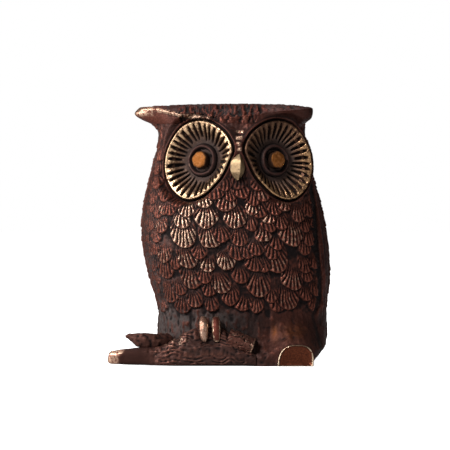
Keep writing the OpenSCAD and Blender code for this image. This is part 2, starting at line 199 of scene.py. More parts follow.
TUFT_RIGHT = (-84.0, 7.3, 13.0)   # direction, reach, spread
TUFT_LEFT = (60.0, 4.4, 19.0)
TUFT_RIGHT_RISE = (
    [65.5, 66.5, 67.7, 68.9, 70.0, 71.2, 72.4, 73.5, 74.7, 75.4, 76.0],
    [0.00, 0.01, 0.05, 0.16, 0.34, 0.70, 0.97, 1.00, 0.74, 0.50, 0.30],
)
TUFT_LEFT_RISE = (
    [68.0, 69.0, 70.2, 71.2, 72.5, 74.0, 75.2, 76.0],
    [0.00, 0.05, 0.35, 0.80, 1.00, 1.00, 0.75, 0.40],
)


def tuft(a, z):
    right = smooth_curve(z, *TUFT_RIGHT_RISE) * TUFT_RIGHT[1] * hump(a - TUFT_RIGHT[0], TUFT_RIGHT[2])
    left = smooth_curve(z, *TUFT_LEFT_RISE) * TUFT_LEFT[1] * hump(a - TUFT_LEFT[0], TUFT_LEFT[2])
    return right * (z > 65.5) + left * (z > 68.0)


def body_surface(a, z, inset=0.0, tufts=True):
    """Points of the body at angles a and heights z, moved in by inset."""
    s, c = sin_deg(a), cos_deg(a)
    w = HALF_W * outline(z, 1) - inset
    d = HALF_D * np.where(c > 0, outline(z, 3), outline(z, 4)) - inset
    out = tuft(wrapped(a), z) if tufts else 0.0
    x = BODY_X + HALF_W * outline(z, 2) + w * np.sign(s) * np.abs(s) ** (2 / ROUNDNESS) + out * s
    y = BODY_Y - d * np.sign(c) * np.abs(c) ** (2 / ROUNDNESS) - out * c
    return np.stack([x, y, np.broadcast_to(z, x.shape) + 0.0], axis=-1)


# Distance round the body from the middle of the front, at the widest section.
WIDEST = 0.455
_angles = np.linspace(-180, 180, 1441)
_ring = body_surface(_angles, np.full_like(_angles, WIDEST * SEAT_Z))
_arc = np.concatenate([[0], np.cumsum(np.linalg.norm(np.diff(_ring, axis=0), axis=1))])
_arc -= np.interp(0, _angles, _arc)
HALF_ROUND = _arc[-1]


def around(a, z):
    """Distance round the body, in millimetres, at angle a and height z."""
    return np.interp(wrapped(np.asarray(a)), _angles, _arc) * outline(z, 1)


def around_at(x, z):
    """The same, for the point of the front that is seen at x."""
    s = (x - BODY_X - HALF_W * outline(z, 2)) / (HALF_W * outline(z, 1))
    s = np.sign(s) * np.clip(np.abs(s), 0, 0.999) ** (ROUNDNESS / 2)
    return around(np.degrees(np.arcsin(s)), z)


# -------- the eyes' frames

EYE_TURN, EYE_LEAN_BACK = 30.0, 6.0
DISC_LEAN, DISC_LONG_R, DISC_SHORT_R = 40.0, 12.0, 10.3
BEAK_W = 4.7
EYE_Z = SEAT_Z - 10.4
EYE_SPREAD = (
    np.hypot(DISC_LONG_R * sin_deg(DISC_LEAN), DISC_SHORT_R * cos_deg(DISC_LEAN)) * cos_deg(EYE_TURN)
    + BEAK_W * 0.48
)
EYE_Y = body_surface(np.array([0.0]), np.array([EYE_Z]))[0, 1] + 2.7
DISH_FLOOR = -3.2

# Outline of the owl's right face disc: angle from the beak's side, radius. Its upper inner
# lobe reaches over the beak, and its lower inner side is cut away beside it.
DISC_SHAPE = (
    [-180, -162, -130, -109, -80, -56, -30, -4, 14, 35, 57, 93, 120, 148, 180],
    [11.1, 11.5, 12.1, 12.2, 10.6, 9.3, 9.2, 9.9, 11.4, 11.4, 11.1, 11.3, 11.3, 10.9, 11.1],
)


def disc_radius(angle, side):
    """Radius of a face disc. Side -1 is the owl's right."""
    angle = np.asarray(angle, float)
    if side > 0:
        angle = 180 - angle
    return smooth_curve(wrapped(angle), *DISC_SHAPE)


def eye_axes(side):
    """Origin and axes of an eye: columns are its right, its up, and straight out of it."""
    turn, lean = np.radians(side * EYE_TURN), np.radians(90 - EYE_LEAN_BACK)
    spin = np.array([[np.cos(turn), -np.sin(turn), 0], [np.sin(turn), np.cos(turn), 0], [0, 0, 1]])
    tip = np.array([[1, 0, 0], [0, np.cos(lean), -np.sin(lean)], [0, np.sin(lean), np.cos(lean)]])
    return np.array([FACE_X + side * EYE_SPREAD, EYE_Y, EYE_Z]), spin @ tip


def from_eye(local, side):
    origin, axes = eye_axes(side)
    return origin + local @ axes.T


def to_eye(points, side):
    origin, axes = eye_axes(side)
    return (points - origin) @ axes


# -------- materials

def new_material(name):
    material = bpy.data.materials.new(name)
    material.use_nodes = True
    nodes = material.node_tree.nodes
    nodes.clear()
    shader = nodes.new("ShaderNodeBsdfPrincipled")
    output = nodes.new("ShaderNodeOutputMaterial")
    material.node_tree.links.new(shader.outputs["BSDF"], output.inputs["Surface"])
    return material, shader


class Nodes:
    """Short forms for the node kinds that the materials use."""

    def __init__(self, owner):
        self.tree = owner.node_tree

    def fill(self, node, **values):
        """Sets or links a node's inputs. An underscore stands for a space in an input's name."""
        for key, value in values.items():
            socket = node.inputs[key.replace("_", " ")]
            if isinstance(value, bpy.types.NodeSocket):
                self.tree.links.new(value, socket)
            else:
                socket.default_value = value

    def node(self, kind, **values):
        node = self.tree.nodes.new("ShaderNode" + kind)
        self.fill(node, **values)
        return node

    def attribute(self, name):
        node = self.node("Attribute")
        node.attribute_name = name
        return node.outputs["Fac"]

    def noise(self, scale, detail=4.0, roughness=0.55, stretch=(1, 1, 1)):
        """Noise with features of about 1 / scale millimetres."""
        place = self.node("TexCoord").outputs["Object"]
        mapping = self.node("Mapping", Scale=[scale / MM * k for k in stretch], Vector=place)
        node = self.node("TexNoise", Scale=1.0, Detail=detail, Roughness=roughness, Distortion=0.0)
        self.fill(node, Vector=mapping.outputs["Vector"])
        return node.outputs["Fac"]

    def math(self, operation, a, b):
        node = self.node("Math")
        node.operation = operation
        for value, socket in zip((a, b), node.inputs):
            if isinstance(value, bpy.types.NodeSocket):
                self.tree.links.new(value, socket)
            else:
                socket.default_value = value
        return node.outputs[0]

    def range(self, value, low, high, to_low=0.0, to_high=1.0):
        node = self.node("MapRange", Value=value, From_Min=low, From_Max=high, To_Min=to_low, To_Max=to_high)
        node.interpolation_type = "SMOOTHSTEP"
        return node.outputs["Result"]

    def mix(self, factor, a, b, kind="RGBA"):
        node = self.node("Mix")
        node.data_type = kind
        a, b = ((*value, 1) if isinstance(value, tuple) else value for value in (a, b))
        self.fill(node, Factor=factor, A=a, B=b)
        return node.outputs["Result"]

    def mix_number(self, factor, a, b):
        return self.mix(factor, a, b, kind="FLOAT")

    def bump(self, height, strength, distance):
        return self.node("Bump", Strength=strength, Distance=distance * MM, Height=height).outputs["Normal"]


BROWN = (0.050, 0.0155, 0.011)
BROWN_LIGHT = (0.175, 0.055, 0.036)
SOOT = (0.006, 0.005, 0.0052)
DUST = (0.060, 0.050, 0.047)
GOLD = (0.500, 0.320, 0.225)
AMBER = (0.120, 0.036, 0.009)
PALE_GOLD = (0.340, 0.232, 0.130)


def patina(name, brown=BROWN, light=BROWN_LIGHT, gold=GOLD, rough=0.42):
    """Brown brass. Point attributes change it: wear_and_painted_light rubs it back to bare brass,
    and also carries painted highlights and painted shade; ridge lightens it, partly as painted light;
    deep_and_painted_shade darkens it, as patina in hollows and as painted shade; dust greys it and amber
    stains it."""
    material, shader = new_material(name)
    n = Nodes(material)
    wear_and_painted_light, ridge = n.attribute("wear_and_painted_light"), n.attribute("ridge")
    deep_and_painted_shade, dust = n.attribute("deep_and_painted_shade"), n.attribute("dust")
    broad = n.noise(0.16, 3.0)
    fine = n.noise(1.1, 5.0, 0.65)
    grain = n.noise(3.6, 3.0, 0.6)
    patchy = n.math("MULTIPLY", n.range(fine, 0.36, 0.64, 0.2, 1.3), wear_and_painted_light)
    bare = n.range(patchy, 0.22, 0.75)
    colour = n.mix(n.range(broad, 0.35, 0.65), tuple(0.7 * k for k in brown), brown)
    colour = n.mix(n.math("MULTIPLY", ridge, n.range(grain, 0.34, 0.66, 0.15, 1.0)), colour, light)
    greyed = n.math("MULTIPLY", dust, n.range(fine, 0.32, 0.62, 0.35, 1.0))
    colour = n.mix(greyed, colour, DUST)
    stain = n.math("MULTIPLY", n.attribute("amber"), n.range(fine, 0.35, 0.6, 0.25, 1.0))
    colour = n.mix(stain, colour, AMBER)
    sooty = n.math("MULTIPLY", deep_and_painted_shade, n.range(grain, 0.2, 0.6, 0.88, 1.0))
    colour = n.mix(sooty, colour, SOOT)
    tint = n.mix(n.range(fine, 0.35, 0.65), gold, tuple(0.62 * k for k in gold))
    colour = n.mix(bare, colour, tint)
    dull = n.math("MAXIMUM", sooty, greyed)
    roughness = n.mix_number(dull, n.range(fine, 0.3, 0.7, rough - 0.07, rough + 0.1), 0.72)
    height = n.math("ADD", n.math("MULTIPLY", fine, 0.7), n.math("MULTIPLY", grain, 0.3))
    n.fill(
        shader,
        Base_Color=colour,
        Specular_Tint=n.mix(0.5, colour, (0.48, 0.32, 0.26)),
        Metallic=n.mix_number(bare, n.mix_number(dull, 0.75, 0.15), 1.0),
        Specular_IOR_Level=n.mix_number(dull, 0.5, 0.12),
        Roughness=n.mix_number(bare, roughness, rough - 0.08),
        Normal=n.bump(height, 0.6, 0.18),
    )
    return material


# -------- making meshes

def grid_faces(first, rows, columns, wrap=False):
    """Four-sided faces of a grid of points numbered row by row from first."""
    i, j = np.meshgrid(np.arange(rows - 1), np.arange(columns if wrap else columns - 1), indexing="ij")
    k = (j + 1) % columns
    a, b, c, d = (first + r * columns + q for r, q in ((i, j), (i, k), (i + 1, k), (i + 1, j)))
    return np.stack([a, b, c, d], axis=-1).reshape(-1, 4).tolist()


def make_piece(name, points, faces, nodes, material, marks, sharp=None):
    """One closed piece that stands for CAD nodes, with the point attributes in marks."""
    mesh = bpy.data.meshes.new(name)
    mesh.from_pydata((np.asarray(points) * MM).tolist(), [], faces)
    mesh.validate()
    for key, values in marks.items():
        layer = mesh.attributes.new(key, "FLOAT", "POINT")
        layer.data.foreach_set("value", np.clip(np.asarray(values, float).ravel(), 0, 1))
    piece = bpy.data.objects.new(name, mesh)
    bpy.context.scene.collection.objects.link(piece)
    face_outwards(mesh)
    mesh.shade_smooth()
    if sharp:
        mesh.set_sharp_from_angle(angle=np.radians(sharp))
    mesh.materials.append(material)
    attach(piece, "root")
    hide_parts(*nodes)


def make_tube(name, points, node, material, marks, end_marks):
    """A piece through rings of points. end_marks are the marks of the middles of its two ends."""
    mesh_points, faces = tube(points)
    make_piece(name, mesh_points, faces, [node], material, extend_marks(marks, end_marks))


def face_outwards(mesh):
    solid = bmesh.new()
    solid.from_mesh(mesh)
    bmesh.ops.recalc_face_normals(solid, faces=solid.faces)
    solid.to_mesh(mesh)
    solid.free()


def ring_faces(rows, columns):
    """Faces of a ring-shaped solid: its rows and its columns both close on themselves."""
    last = (rows - 1) * columns
    closing = [[last + j, last + (j + 1) % columns, (j + 1) % columns, j] for j in range(columns)]
    return grid_faces(0, rows, columns, wrap=True) + closing


def tube(sections):
    """Points and faces of a closed solid through rings of points, with flat ends."""
    rows, columns = sections.shape[:2]
    faces = grid_faces(0, rows, columns, wrap=True)
    ends = [sections[0].mean(axis=0), sections[-1].mean(axis=0)]
    points = np.concatenate([sections.reshape(-1, 3), ends])
    last = (rows - 1) * columns
    for j in range(columns):
        k = (j + 1) % columns
        faces.append([rows * columns, k, j])
        faces.append([rows * columns + 1, last + j, last + k])
    return points, faces


def marks_of(height, wear_and_painted_light, dust, radius, wrap=False):
    """Point attributes of a grid from its fine relief: ridges stand over what is round them."""
    relief = height - blur(height, radius, wrap)
    broad = height - blur(height, 3 * radius, wrap)
    ridge = ramp(relief, 0.03, 0.24)
    deep_and_painted_shade = np.maximum(ramp(-relief, 0.01, 0.15), ramp(-broad, 0.03, 0.26))
    return {
        "ridge": ridge,
        "deep_and_painted_shade": deep_and_painted_shade,
        "wear_and_painted_light": ramp(relief, 0.0, 0.16) * wear_and_painted_light,
        "dust": np.broadcast_to(dust, height.shape) * (1 - ramp(relief, 0.02, 0.15)),
    }


def raise_mark(marks, key, floor):
    marks[key] = np.maximum(marks[key], floor)


def extend_marks(marks, values):
    """The marks of a grid, followed by values for the points that were added after it."""
    return {key: np.append(grid.ravel(), values) for key, grid in marks.items()}


def by_ring(values, columns):
    """One value a ring, given to every point of the ring."""
    return np.repeat(np.array(values, float)[:, None], columns, axis=1)


# -------- relief of the body

# Breast feathers: x and z of the tip, half width, how far it is polished: partly real wear, and partly a
# painted highlight on the feathers the light falls on most.
FEATHERS = (
    (-1.0, 47.8, 3.3, 0.15), (6.8, 48.2, 2.6, 0.05), (12.7, 47.3, 2.3, 0.45), (-7.0, 48.6, 2.4, 0.1),
    (-12.1, 45.6, 2.6, 0.15), (-4.2, 45.3, 2.9, 1.0), (1.9, 44.3, 3.5, 0.5), (18.5, 44.3, 2.5, 0.5),
    (-15.9, 43.2, 2.1, 0.6), (-9.6, 42.8, 2.9, 1.0), (9.2, 43.4, 2.6, 0.7), (23.2, 41.3, 2.8, 0.4),
    (-19.9, 44.1, 2.2, 0.3), (-20.9, 38.0, 2.4, 0.3), (14.1, 40.6, 2.3, 0.6), (18.3, 39.2, 2.4, 0.3),
    (-16.5, 38.0, 2.8, 0.45), (-10.3, 39.5, 2.6, 1.0), (-3.9, 39.5, 3.5, 0.85), (4.5, 39.5, 3.6, 0.7),
    (9.4, 38.9, 2.4, 0.3), (12.4, 35.5, 2.6, 0.5), (20.5, 34.5, 4.2, 0.5), (-10.3, 33.9, 3.9, 0.95),
    (-1.6, 33.9, 3.5, 0.75), (5.4, 34.4, 2.8, 0.3), (16.1, 33.4, 2.2, 0.2), (24.6, 31.9, 2.6, 0.3),
    (-20.0, 31.3, 2.3, 0.3), (8.3, 31.0, 2.4, 0.2), (-15.9, 29.6, 2.8, 0.5), (-8.3, 28.1, 3.3, 0.55),
    (-3.3, 26.9, 2.2, 0.9), (1.9, 27.4, 2.8, 0.85), (9.8, 27.2, 2.8, 0.2), (16.7, 26.9, 3.8, 0.4),
    (24.9, 26.4, 2.6, 0.3), (-12.0, 27.6, 2.2, 0.2), (-15.3, 25.0, 3.6, 0.3), (-19.0, 24.0, 2.3, 0.2),
    (-7.1, 22.3, 3.3, 0.45), (1.3, 20.8, 3.1, 0.55), (6.2, 23.6, 2.6, 0.2), (20.8, 21.7, 3.7, 0.4),
    (10.9, 19.9, 3.6, 0.4), (-3.0, 19.9, 2.4, 0.2), (-13.8, 17.9, 3.9, 0.3), (15.3, 18.2, 2.1, 0.3),
    (24.9, 18.4, 2.4, 0.2), (-6.6, 16.5, 2.6, 0.3), (3.6, 17.3, 2.8, 0.2), (20.5, 15.9, 3.7, 0.4),
    (-1.8, 15.4, 2.2, 0.05), (10.9, 15.0, 2.4, 0.3), (-10.6, 14.6, 2.9, 0.0), (-15.9, 14.9, 2.2, 0.0),
)
FEATHER_T = 0.8
WING_EDGE = ([0, 4, 9, 14, 19, 25, 34, 46, 54], [30.0, 29.6, 28.8, 27.4, 29.5, 29.6, 28.7, 28.0, 26.6])


def add_feather(fields, u, z, tip_u, tip_z, half, polish_and_painted_light, lean):
    """One overlapping feather with a rounded tip, whose barbs spread from a root above it."""
    height, shine = fields
    length, drop = 2.7 * half, 1.05 * half
    near = (np.abs(u - tip_u) < half * 1.3) & (z > tip_z - 0.3) & (z < tip_z + length)
    if not near.any():
        return
    du, dz = u[near] - tip_u, z[near] - tip_z
    du, dz = du * np.cos(lean) - dz * np.sin(lean), du * np.sin(lean) + dz * np.cos(lean)
    below = np.minimum(dz - drop, 0) / drop
    width = half * (1 - 0.30 * ramp(dz, 1.5 * half, length))
    inside = half * (1 - np.hypot(du / width, below))
    angle = np.arctan2(du, 2.8 * half + 0.25 * np.abs(du) - dz)
    barbs = max(5, round(2 * half / 0.86))
    wave = 0.5 + 0.5 * np.cos(angle * barbs * 5.6 + 1.3 * np.sin(7 * tip_u + tip_z))
    groove = (1 - ramp(wave, 0.15, 0.75)) * ramp(inside, 0.10, 0.4) * ramp(dz, 2.2 * half, 1.4 * half)
    thick = FEATHER_T * (1 - 0.7 * ramp(abs(tip_u), 23, 32))
    rise = thick * ramp(dz, length, 0.15 * half) * (1 - 0.42 * (du / half) ** 2)
    h = rise - 0.42 * groove + 0.10 * hump(inside - 0.3, 0.25)
    edge = ramp(inside, -0.05, 0.32)
    height[near] = np.where(inside > -0.05, h * edge, height[near])
    # The feather's rubbed brightness, partly real wear and partly a painted highlight, fading into its
    # grooves.
    lit = polish_and_painted_light * (1 - 0.8 * groove) * ramp(dz, 2.2 * half, 1.0 * half)
    shine[near] = np.where(inside > -0.05, lit, shine[near])


def breast(fields, u, z):
    """The listed feathers, and duller ones that fill the rows between and beside them."""
    placed = [(around_at(x, tip_z), tip_z, half, polish_and_painted_light) for x, tip_z, half, polish_and_painted_light in FEATHERS]
    for row, row_z in enumerate(np.arange(15.5, 66.0, 3.9)):
        for k in range(-9, 10):
            tip_u = (k + 0.5 * (row % 2)) * 5.3 + 0.7 * np.sin(5 * k + 2 * row)
            tip_z = row_z + 0.6 * np.sin(3 * k + row)
            if abs(tip_u) > 40 or (row_z > 52 and abs(tip_u) < 22):
                continue
            crowd = [np.hypot(tip_u - p[0], 1.1 * (tip_z - p[1])) / p[2] for p in placed]
            if min(crowd) > 0.98:
                narrow = 2.5 if abs(tip_u) < 27 else 2.1
                placed.append((tip_u, tip_z, narrow, 0.12 + 0.1 * np.sin(k * row)))
    for tip_u, tip_z, half, polish_and_painted_light in sorted(placed, key=lambda feather: feather[1]):
        lean = 0.16 * np.sin(37.0 * tip_u + 11.0 * tip_z)
        add_feather(fields, u, z, tip_u, tip_z, half, polish_and_painted_light, lean)


def back_feathers(fields, u, z):
    """Small scales down the sides and the upper back, behind the breast feathers."""
    for row, tip_z in enumerate(np.arange(15.0, 69.0, 4.1)):
        for k in np.arange(-9, 10):
            v = (k + 0.5 * (row % 2)) * 5.2
            side = HALF_ROUND * outline(tip_z, 1) - abs(v)
            if side < around_at(24.5, min(tip_z, 46.0)) + 3.0:
                continue
            if abs(v) > 4 and tip_z < 36:
                continue
            tip_u = np.sign(v or 1) * side
            add_feather(fields, u, z, tip_u, tip_z, 3.0, 0.25, 0.05 * np.sin(9 * k + row))


def wings(height, z, v):
    """Folded wings on the back: long primaries that close over the tail."""
    edge = 2.5 + 8.5 * ramp(z, 10, 62)
    inside = np.abs(v) - edge
    wing = ramp(inside, -0.25, 0.25)
    long_ones = ramp(z, 37, 33) * wing * ramp(inside, 24, 20)
    lane = inside / 3.1 + 0.25 * np.sin(z / 9)
    rib = np.abs((lane % 1) - 0.5) * 2
    barbs = 0.5 + 0.5 * np.cos((z * 0.9 + (lane % 1) * 3.1) * 2 * np.pi / 1.25)
    vane = 0.55 * np.sqrt(np.clip(1 - rib**2, 0, 1)) + 0.10 * barbs - 0.25 * ramp(rib, 0.85, 1.0)
    tail = ramp(z, 20, 16) * ramp(inside, 0.3, -0.3)
    tail_rib = np.abs(((v / 2.6) % 1) - 0.5) * 2
    relief = long_ones * vane + tail * 0.45 * np.sqrt(np.clip(1 - tail_rib**2, 0, 1))
    return height * (1 - long_ones) * (1 - tail) + relief + 0.5 * wing * ramp(z, 64, 58)


def strokes(x, z, spans, count, length, depth):
    """Relief of short chased lines, spread at random over spans of x, z and direction."""
    relief = np.zeros(z.shape)
    for sx, sz, turn in zip(*(rng.uniform(low, high, count) for low, high in spans)):
        near = (np.abs(x - sx) < length) & (np.abs(z - sz) < length)
        if near.any():
            dx, dz = x[near] - sx, z[near] - sz
            along = dx * np.cos(turn) + dz * np.sin(turn)
            aside = -dx * np.sin(turn) + dz * np.cos(turn)
            relief[near] -= depth * hump(along, length * 0.5) * hump(aside, 0.22)
    return relief


def embed_eyes(points):
    """Moves the face to lie just behind each disc's rim, with a groove and a fine bead round it.
    Also gives how far each point stands outside the nearer disc."""
    nearest = np.full(points.shape[:-1], 50.0)
    for side in (-1, 1):
        local = to_eye(points, side)
        r = np.hypot(local[..., 0], local[..., 1])
        angle = np.degrees(np.arctan2(local[..., 1], local[..., 0]))
        out = r - disc_radius(angle, side) + 30 * ramp(np.abs(local[..., 2]), 7.0, 12.0)
        target = -1.15 - 3.4 * ramp(out, -0.4, -3.0)
        weight = ramp(out, 2.6, 0.6)
        local[..., 2] += (target - local[..., 2]) * weight
        local[..., 2] += 0.60 * hump(out - 0.9, 0.26) - 0.65 * hump(out - 0.25, 0.32)
        points = from_eye(local, side)
        nearest = np.minimum(nearest, out)
    return points, nearest


STUB_LOW, STUB_HIGH = box("branch_stub")
STUB_X, STUB_H = (STUB_LOW[0] + STUB_HIGH[0]) / 2, STUB_HIGH[2]
STUB_W = STUB_HIGH[0] - STUB_LOW[0]


def embed_stub(points):
    """Draws the trunk's bark forward into a collar round the sawn stub."""
    x, y, z = points[..., 0], points[..., 1], points[..., 2]
    ring = np.hypot((x - STUB_X) / (STUB_W / 2), z / STUB_H)
    target = STUB_LOW[1] + 0.9 + 2.2 * np.clip(ring - 1, 0, 3)
    weight = ramp(ring, 2.35, 1.15) * ramp(y, 0, -4)
    root = hump((x - 12.5) / 6.0, 1.0) * ramp(z, 7.5, 2.0) * ramp(y, 0, -4)
    points = points.copy()
    points[..., 1] = y + np.minimum(target - y, 0) * weight
    points[..., 1] += np.minimum(STUB_LOW[1] + 0.5 - points[..., 1], 0) * root
    return points, ring


def body_relief(points, a, z, ring, out):
    """Fine relief over the body, and how polished and how dusty it is."""
    u = around(a, z)
    v = np.where(u >= 0, 1, -1) * (HALF_ROUND * outline(z, 1) - np.abs(u))
    x = points[..., 0]
    eyes = ramp(out, 1.35, 1.05)
    front = np.abs(wrapped(a)) < 92
    height, shine = np.zeros(z.shape), np.full(z.shape, 0.25)
    fields = (height, shine)
    bent_u, bent_z = u + 0.40 * noise(points, 2.4), z + 0.32 * noise(points + 50, 2.4)
    back_feathers(fields, bent_u, bent_z)
    breast(fields, bent_u, bent_z)
    height = np.where(front, height, wings(height, z, v))
    wobble = noise(points, 3.0)
    # Vertical strokes on the cheeks and the sides of the breast.
    side = ramp(np.abs(u), 22, 27) * front * ramp(z, 14, 20) * ramp(z, 69, 64)
    height += side * 0.16 * np.sin(u * 2 * np.pi / 1.3 + 1.4 * wobble) * ramp(height, 0.5, 0.2)
    # The wing's slab on the owl's left, with a groove before it.
    gap = x - np.interp(z, *WING_EDGE)
    slab = front * ramp(z, 56, 50)
    plane = 0.55 + 0.10 * np.sin(u * 2.4 + wobble) - 0.25 * ramp(gap, 0.5, 2.5)
    height = np.where(gap * slab > 0.4, plane, height)
    height -= slab * 0.9 * hump(gap + 0.3, 0.6)
    # Chased lines on the forehead and the bristles over the beak.
    forehead = front * ramp(z, 59.5, 61.5) * (1 - eyes)
    height += forehead * strokes(x, z, ((-9, 21), (60.5, 70.5), (0.9, 2.1)), 420, 1.6, 0.42)
    for bar_z, lift in ((67.4, 0.3), (65.4, 0.8), (63.7, 0.8), (62.2, 0.5)):
        bar = ramp(np.abs(x - FACE_X - 0.3), 1.5, 1.0) * front
        height = np.maximum(height, bar * (lift * hump(z - bar_z, 0.55)))
        shine = np.where(bar * hump(z - bar_z, 0.55) > 0.4, 0.9, shine)
    # Under the feathers: the recess behind the branch, and the trunk's grain beside it.
    low = front * ramp(z, 17, 13.5)
    streak = noise_at(u, z * 0.22, 0, 1.1) + 0.6 * noise_at(u, z * 0.3, 9, 0.6)
    height += low * ramp(z, 6, 9) * 0.22 * streak * (1 - ramp(height, 0.1, 0.4))
    trunk = front * ramp(x, 10.2, 11.4) * ramp(x, 18.5, 15.5) * ramp(z, 17, 14)
    height += trunk * 0.38 * noise_at(u * 1.3, z * 0.12, 3, 1.0)
    collar = ramp(ring, 3.1, 2.3) * ramp(ring, 0.95, 1.1) * front
    swirl = np.arctan2(z, x - STUB_X) * 6.0
    folds = noise_at(swirl, ring * 0.8, 0, 1.2)
    height = height * (1 - 0.85 * collar) + collar * 0.16 * folds
    calm = 1 - 0.6 * ramp(np.abs(u), 26, 33) * front
    height += 0.06 * wobble + calm * (0.13 * noise(points, 1.2) + 0.09 * noise(points + 7, 0.6))
    # Painted shade under the beak and in the recess behind the branch, deeper towards the right, away from
    # the lights. The groove before the wing slab is darkened too.
    painted_shade_under_beak = hump((x - FACE_X - 0.8) / 3.4, 1.0) * ramp(z, 50.5, 52.5) * ramp(z, 58, 55.5) * front
    slot = slab * hump(gap + 0.3, 0.7)
    dark = np.maximum(0.85 * painted_shade_under_beak, low * (0.30 + 0.45 * ramp(x, -4, 6) - 0.38 * collar))
    dark = np.maximum(dark, 0.9 * slot)
    dust = 0.25 + 0.25 * noise(points, 7.0) + 0.75 * low * ramp(x, 14, 2)
    dust = dust + 0.3 * ramp(x, -9, -17) * ramp(z, 60, 30) + 0.8 * ramp(u, -24, -29) * ramp(z, 54, 60)
    dust = dust * (1 - 0.7 * ramp(x, 8, 20) * ramp(z, 52, 46))
    height -= 0.45 * ramp(np.abs(u), 20, 30) * ramp(z, 16, 20) * front
    seam = ramp(np.abs(np.abs(wrapped(a)) - 90), 0.0, 1.6)
    blade = slab * ramp(gap, 0.2, 0.7) * (0.45 + 0.55 * ramp(gap, 3.0, 1.0)) * ramp(wobble, -0.8, 0.4)
    return height * seam, shine, np.clip(dust, 0, 1), dark, blade


def mark_border(marks, out):
    """Darkens the groove round each disc and lightens the bead outside it."""
    bead = hump(out - 0.9, 0.22)
    raise_mark(marks, "deep_and_painted_shade", hump(np.minimum(out - 0.4, 0), 0.9) * hump(out - 0.3, 0.55))
    raise_mark(marks, "deep_and_painted_shade", ramp(out, 0.4, 0.0))
    marks["deep_and_painted_shade"] *= 1 - 0.7 * bead
    raise_mark(marks, "deep_and_painted_shade", 0.8 * hump(out - 1.35, 0.2))
    raise_mark(marks, "ridge", 0.45 * bead)


def half_body(name, node, a_values, material):
    """Half of the hollow body as a closed shell: relief outside, plain inside."""
    z_values = np.concatenate([np.linspace(0, 15, 50)[:-1], np.linspace(15, SEAT_Z, 275)])
    a, z = np.meshgrid(a_values, z_values)
    points = body_surface(a, z)
    inner_a, inner_z = np.meshgrid(np.linspace(a_values[0], a_values[-1], 25), z_values)
    inner_z = WALL_T + (SEAT_Z - HEAD_WALL_T - WALL_T) * inner_z / SEAT_Z
    level = inner_z / SEAT_Z
    inset = WALL_T + (HEAD_WALL_T - WALL_T) * ramp(level, 0.5, 0.7) + 3 * ramp(level, 0.34, 0.22)
    inner = body_surface(inner_a, inner_z, inset, tufts=False)
    points, out = embed_eyes(points)
    points, ring = embed_stub(points)
    # The lower edge is cut off at a slant on the owl's left.
    x, y = points[..., 0], points[..., 1]
    x -= 2.2 * ramp(x, 14, 27) * np.clip(1 - z / 4.8, 0, 1)
    height, shine, dust, dark, blade = body_relief(points, a, z, ring, out)
    height = height * ramp(out, 1.0, 1.35) * ramp(z, -0.5, 1.0)
    marks = marks_of(height, shine, dust, radius=4)
    mark_border(marks, out)
    raise_mark(marks, "deep_and_painted_shade", dark)
    raise_mark(marks, "ridge", 0.45 * blade)
    marks["ridge"] *= 1 - 0.8 * ramp(z, 18.5, 15.5) * ramp(x, 9, 5)
    raise_mark(marks, "ridge", 0.13 * ramp(ring, 2.6, 1.4) * ramp(ring, 0.9, 1.05))
    # The stains beside and above the stub.
    streak = 0.8 * hump(x - 16.0, 0.9) * hump(z - 9.5, 2.2)
    glow = 0.55 * hump(x - 21.5, 3.4) * hump(z - 9.8, 2.4)
    marks["amber"] = np.maximum(streak, glow) * (y < -6)
    marks["deep_and_painted_shade"] *= 1 - 0.3 * marks["amber"]
    # Painted light: the base of the owl's right tuft is lightened on the side that faces the lamps.
    raise_mark(marks, "ridge", 0.75 * ramp(x, -15, -20) * ramp(z, 65, 67))
    points = points + normals(points) * height[..., None]
    points[..., 2] = np.clip(points[..., 2], 0, SEAT_Z)
    points[0, :, 2], points[-1, :, 2] = 0, SEAT_Z
    rows, columns = a.shape
    inner_columns = inner.shape[1]
    first_inner = rows * columns
    pole = first_inner + rows * inner_columns
    everything = np.concatenate([
        points.reshape(-1, 3), inner.reshape(-1, 3),
        [[BODY_X, BODY_Y, 0], [BODY_X, BODY_Y, SEAT_Z]],
        [[BODY_X, BODY_Y, WALL_T], [BODY_X, BODY_Y, SEAT_Z - HEAD_WALL_T]],
    ])
    faces = grid_faces(0, rows, columns) + grid_faces(first_inner, rows, inner_columns)
    for j in range(columns - 1):
        faces.append([pole, j + 1, j])
        faces.append([pole + 1, (rows - 1) * columns + j, (rows - 1) * columns + j + 1])
    for j in range(inner_columns - 1):
        faces.append([pole + 2, first_inner + j, first_inner + j + 1])
        top = first_inner + (rows - 1) * inner_columns
        faces.append([pole + 3, top + j + 1, top + j])
    for column, inner_column in ((0, 0), (columns - 1, inner_columns - 1)):
        outer_edge = [i * columns + column for i in range(rows)]
        inner_edge = [first_inner + i * inner_columns + inner_column for i in range(rows)]
        outside = [pole, *outer_edge, pole + 1]
        inside = [pole + 2, *inner_edge, pole + 3]
        for i in range(rows + 1):
            faces.append([outside[i], outside[i + 1], inside[i + 1], inside[i]])
    plain = np.zeros(inner.shape[0] * inner.shape[1] + 4)
    marks = extend_marks(marks, plain)
    make_piece(name, everything, faces, [node], material, marks)


def front_angles():
    """Angles across the front, closer together where it faces forward."""
    t = np.linspace(-1, 1, 281)
    spacing = 1 / (1 + 1.1 * np.abs(t) ** 6)
    steps = np.cumsum(1 / spacing)
    arc = (steps - steps[0]) / (steps[-1] - steps[0]) * 2 - 1
    quarter = np.interp(90, _angles, _arc)
    return np.interp(arc * quarter, _arc, _angles)


dark_brass = patina("patinated_brass")
front_values = front_angles()
front_values[0], front_values[-1] = -90, 90
half_body("body_front", "front_casting", front_values, dark_brass)
half_body("body_back", "back_casting", np.linspace(90, 270, 181), dark_brass)

# -------- crown


def brow_z(s):
    power = np.where(s > 0, 1.4, 3.0)
    return SEAT_Z + (HIGH[2] - SEAT_Z) * (0.3 + 0.48 * np.abs(s) ** power)


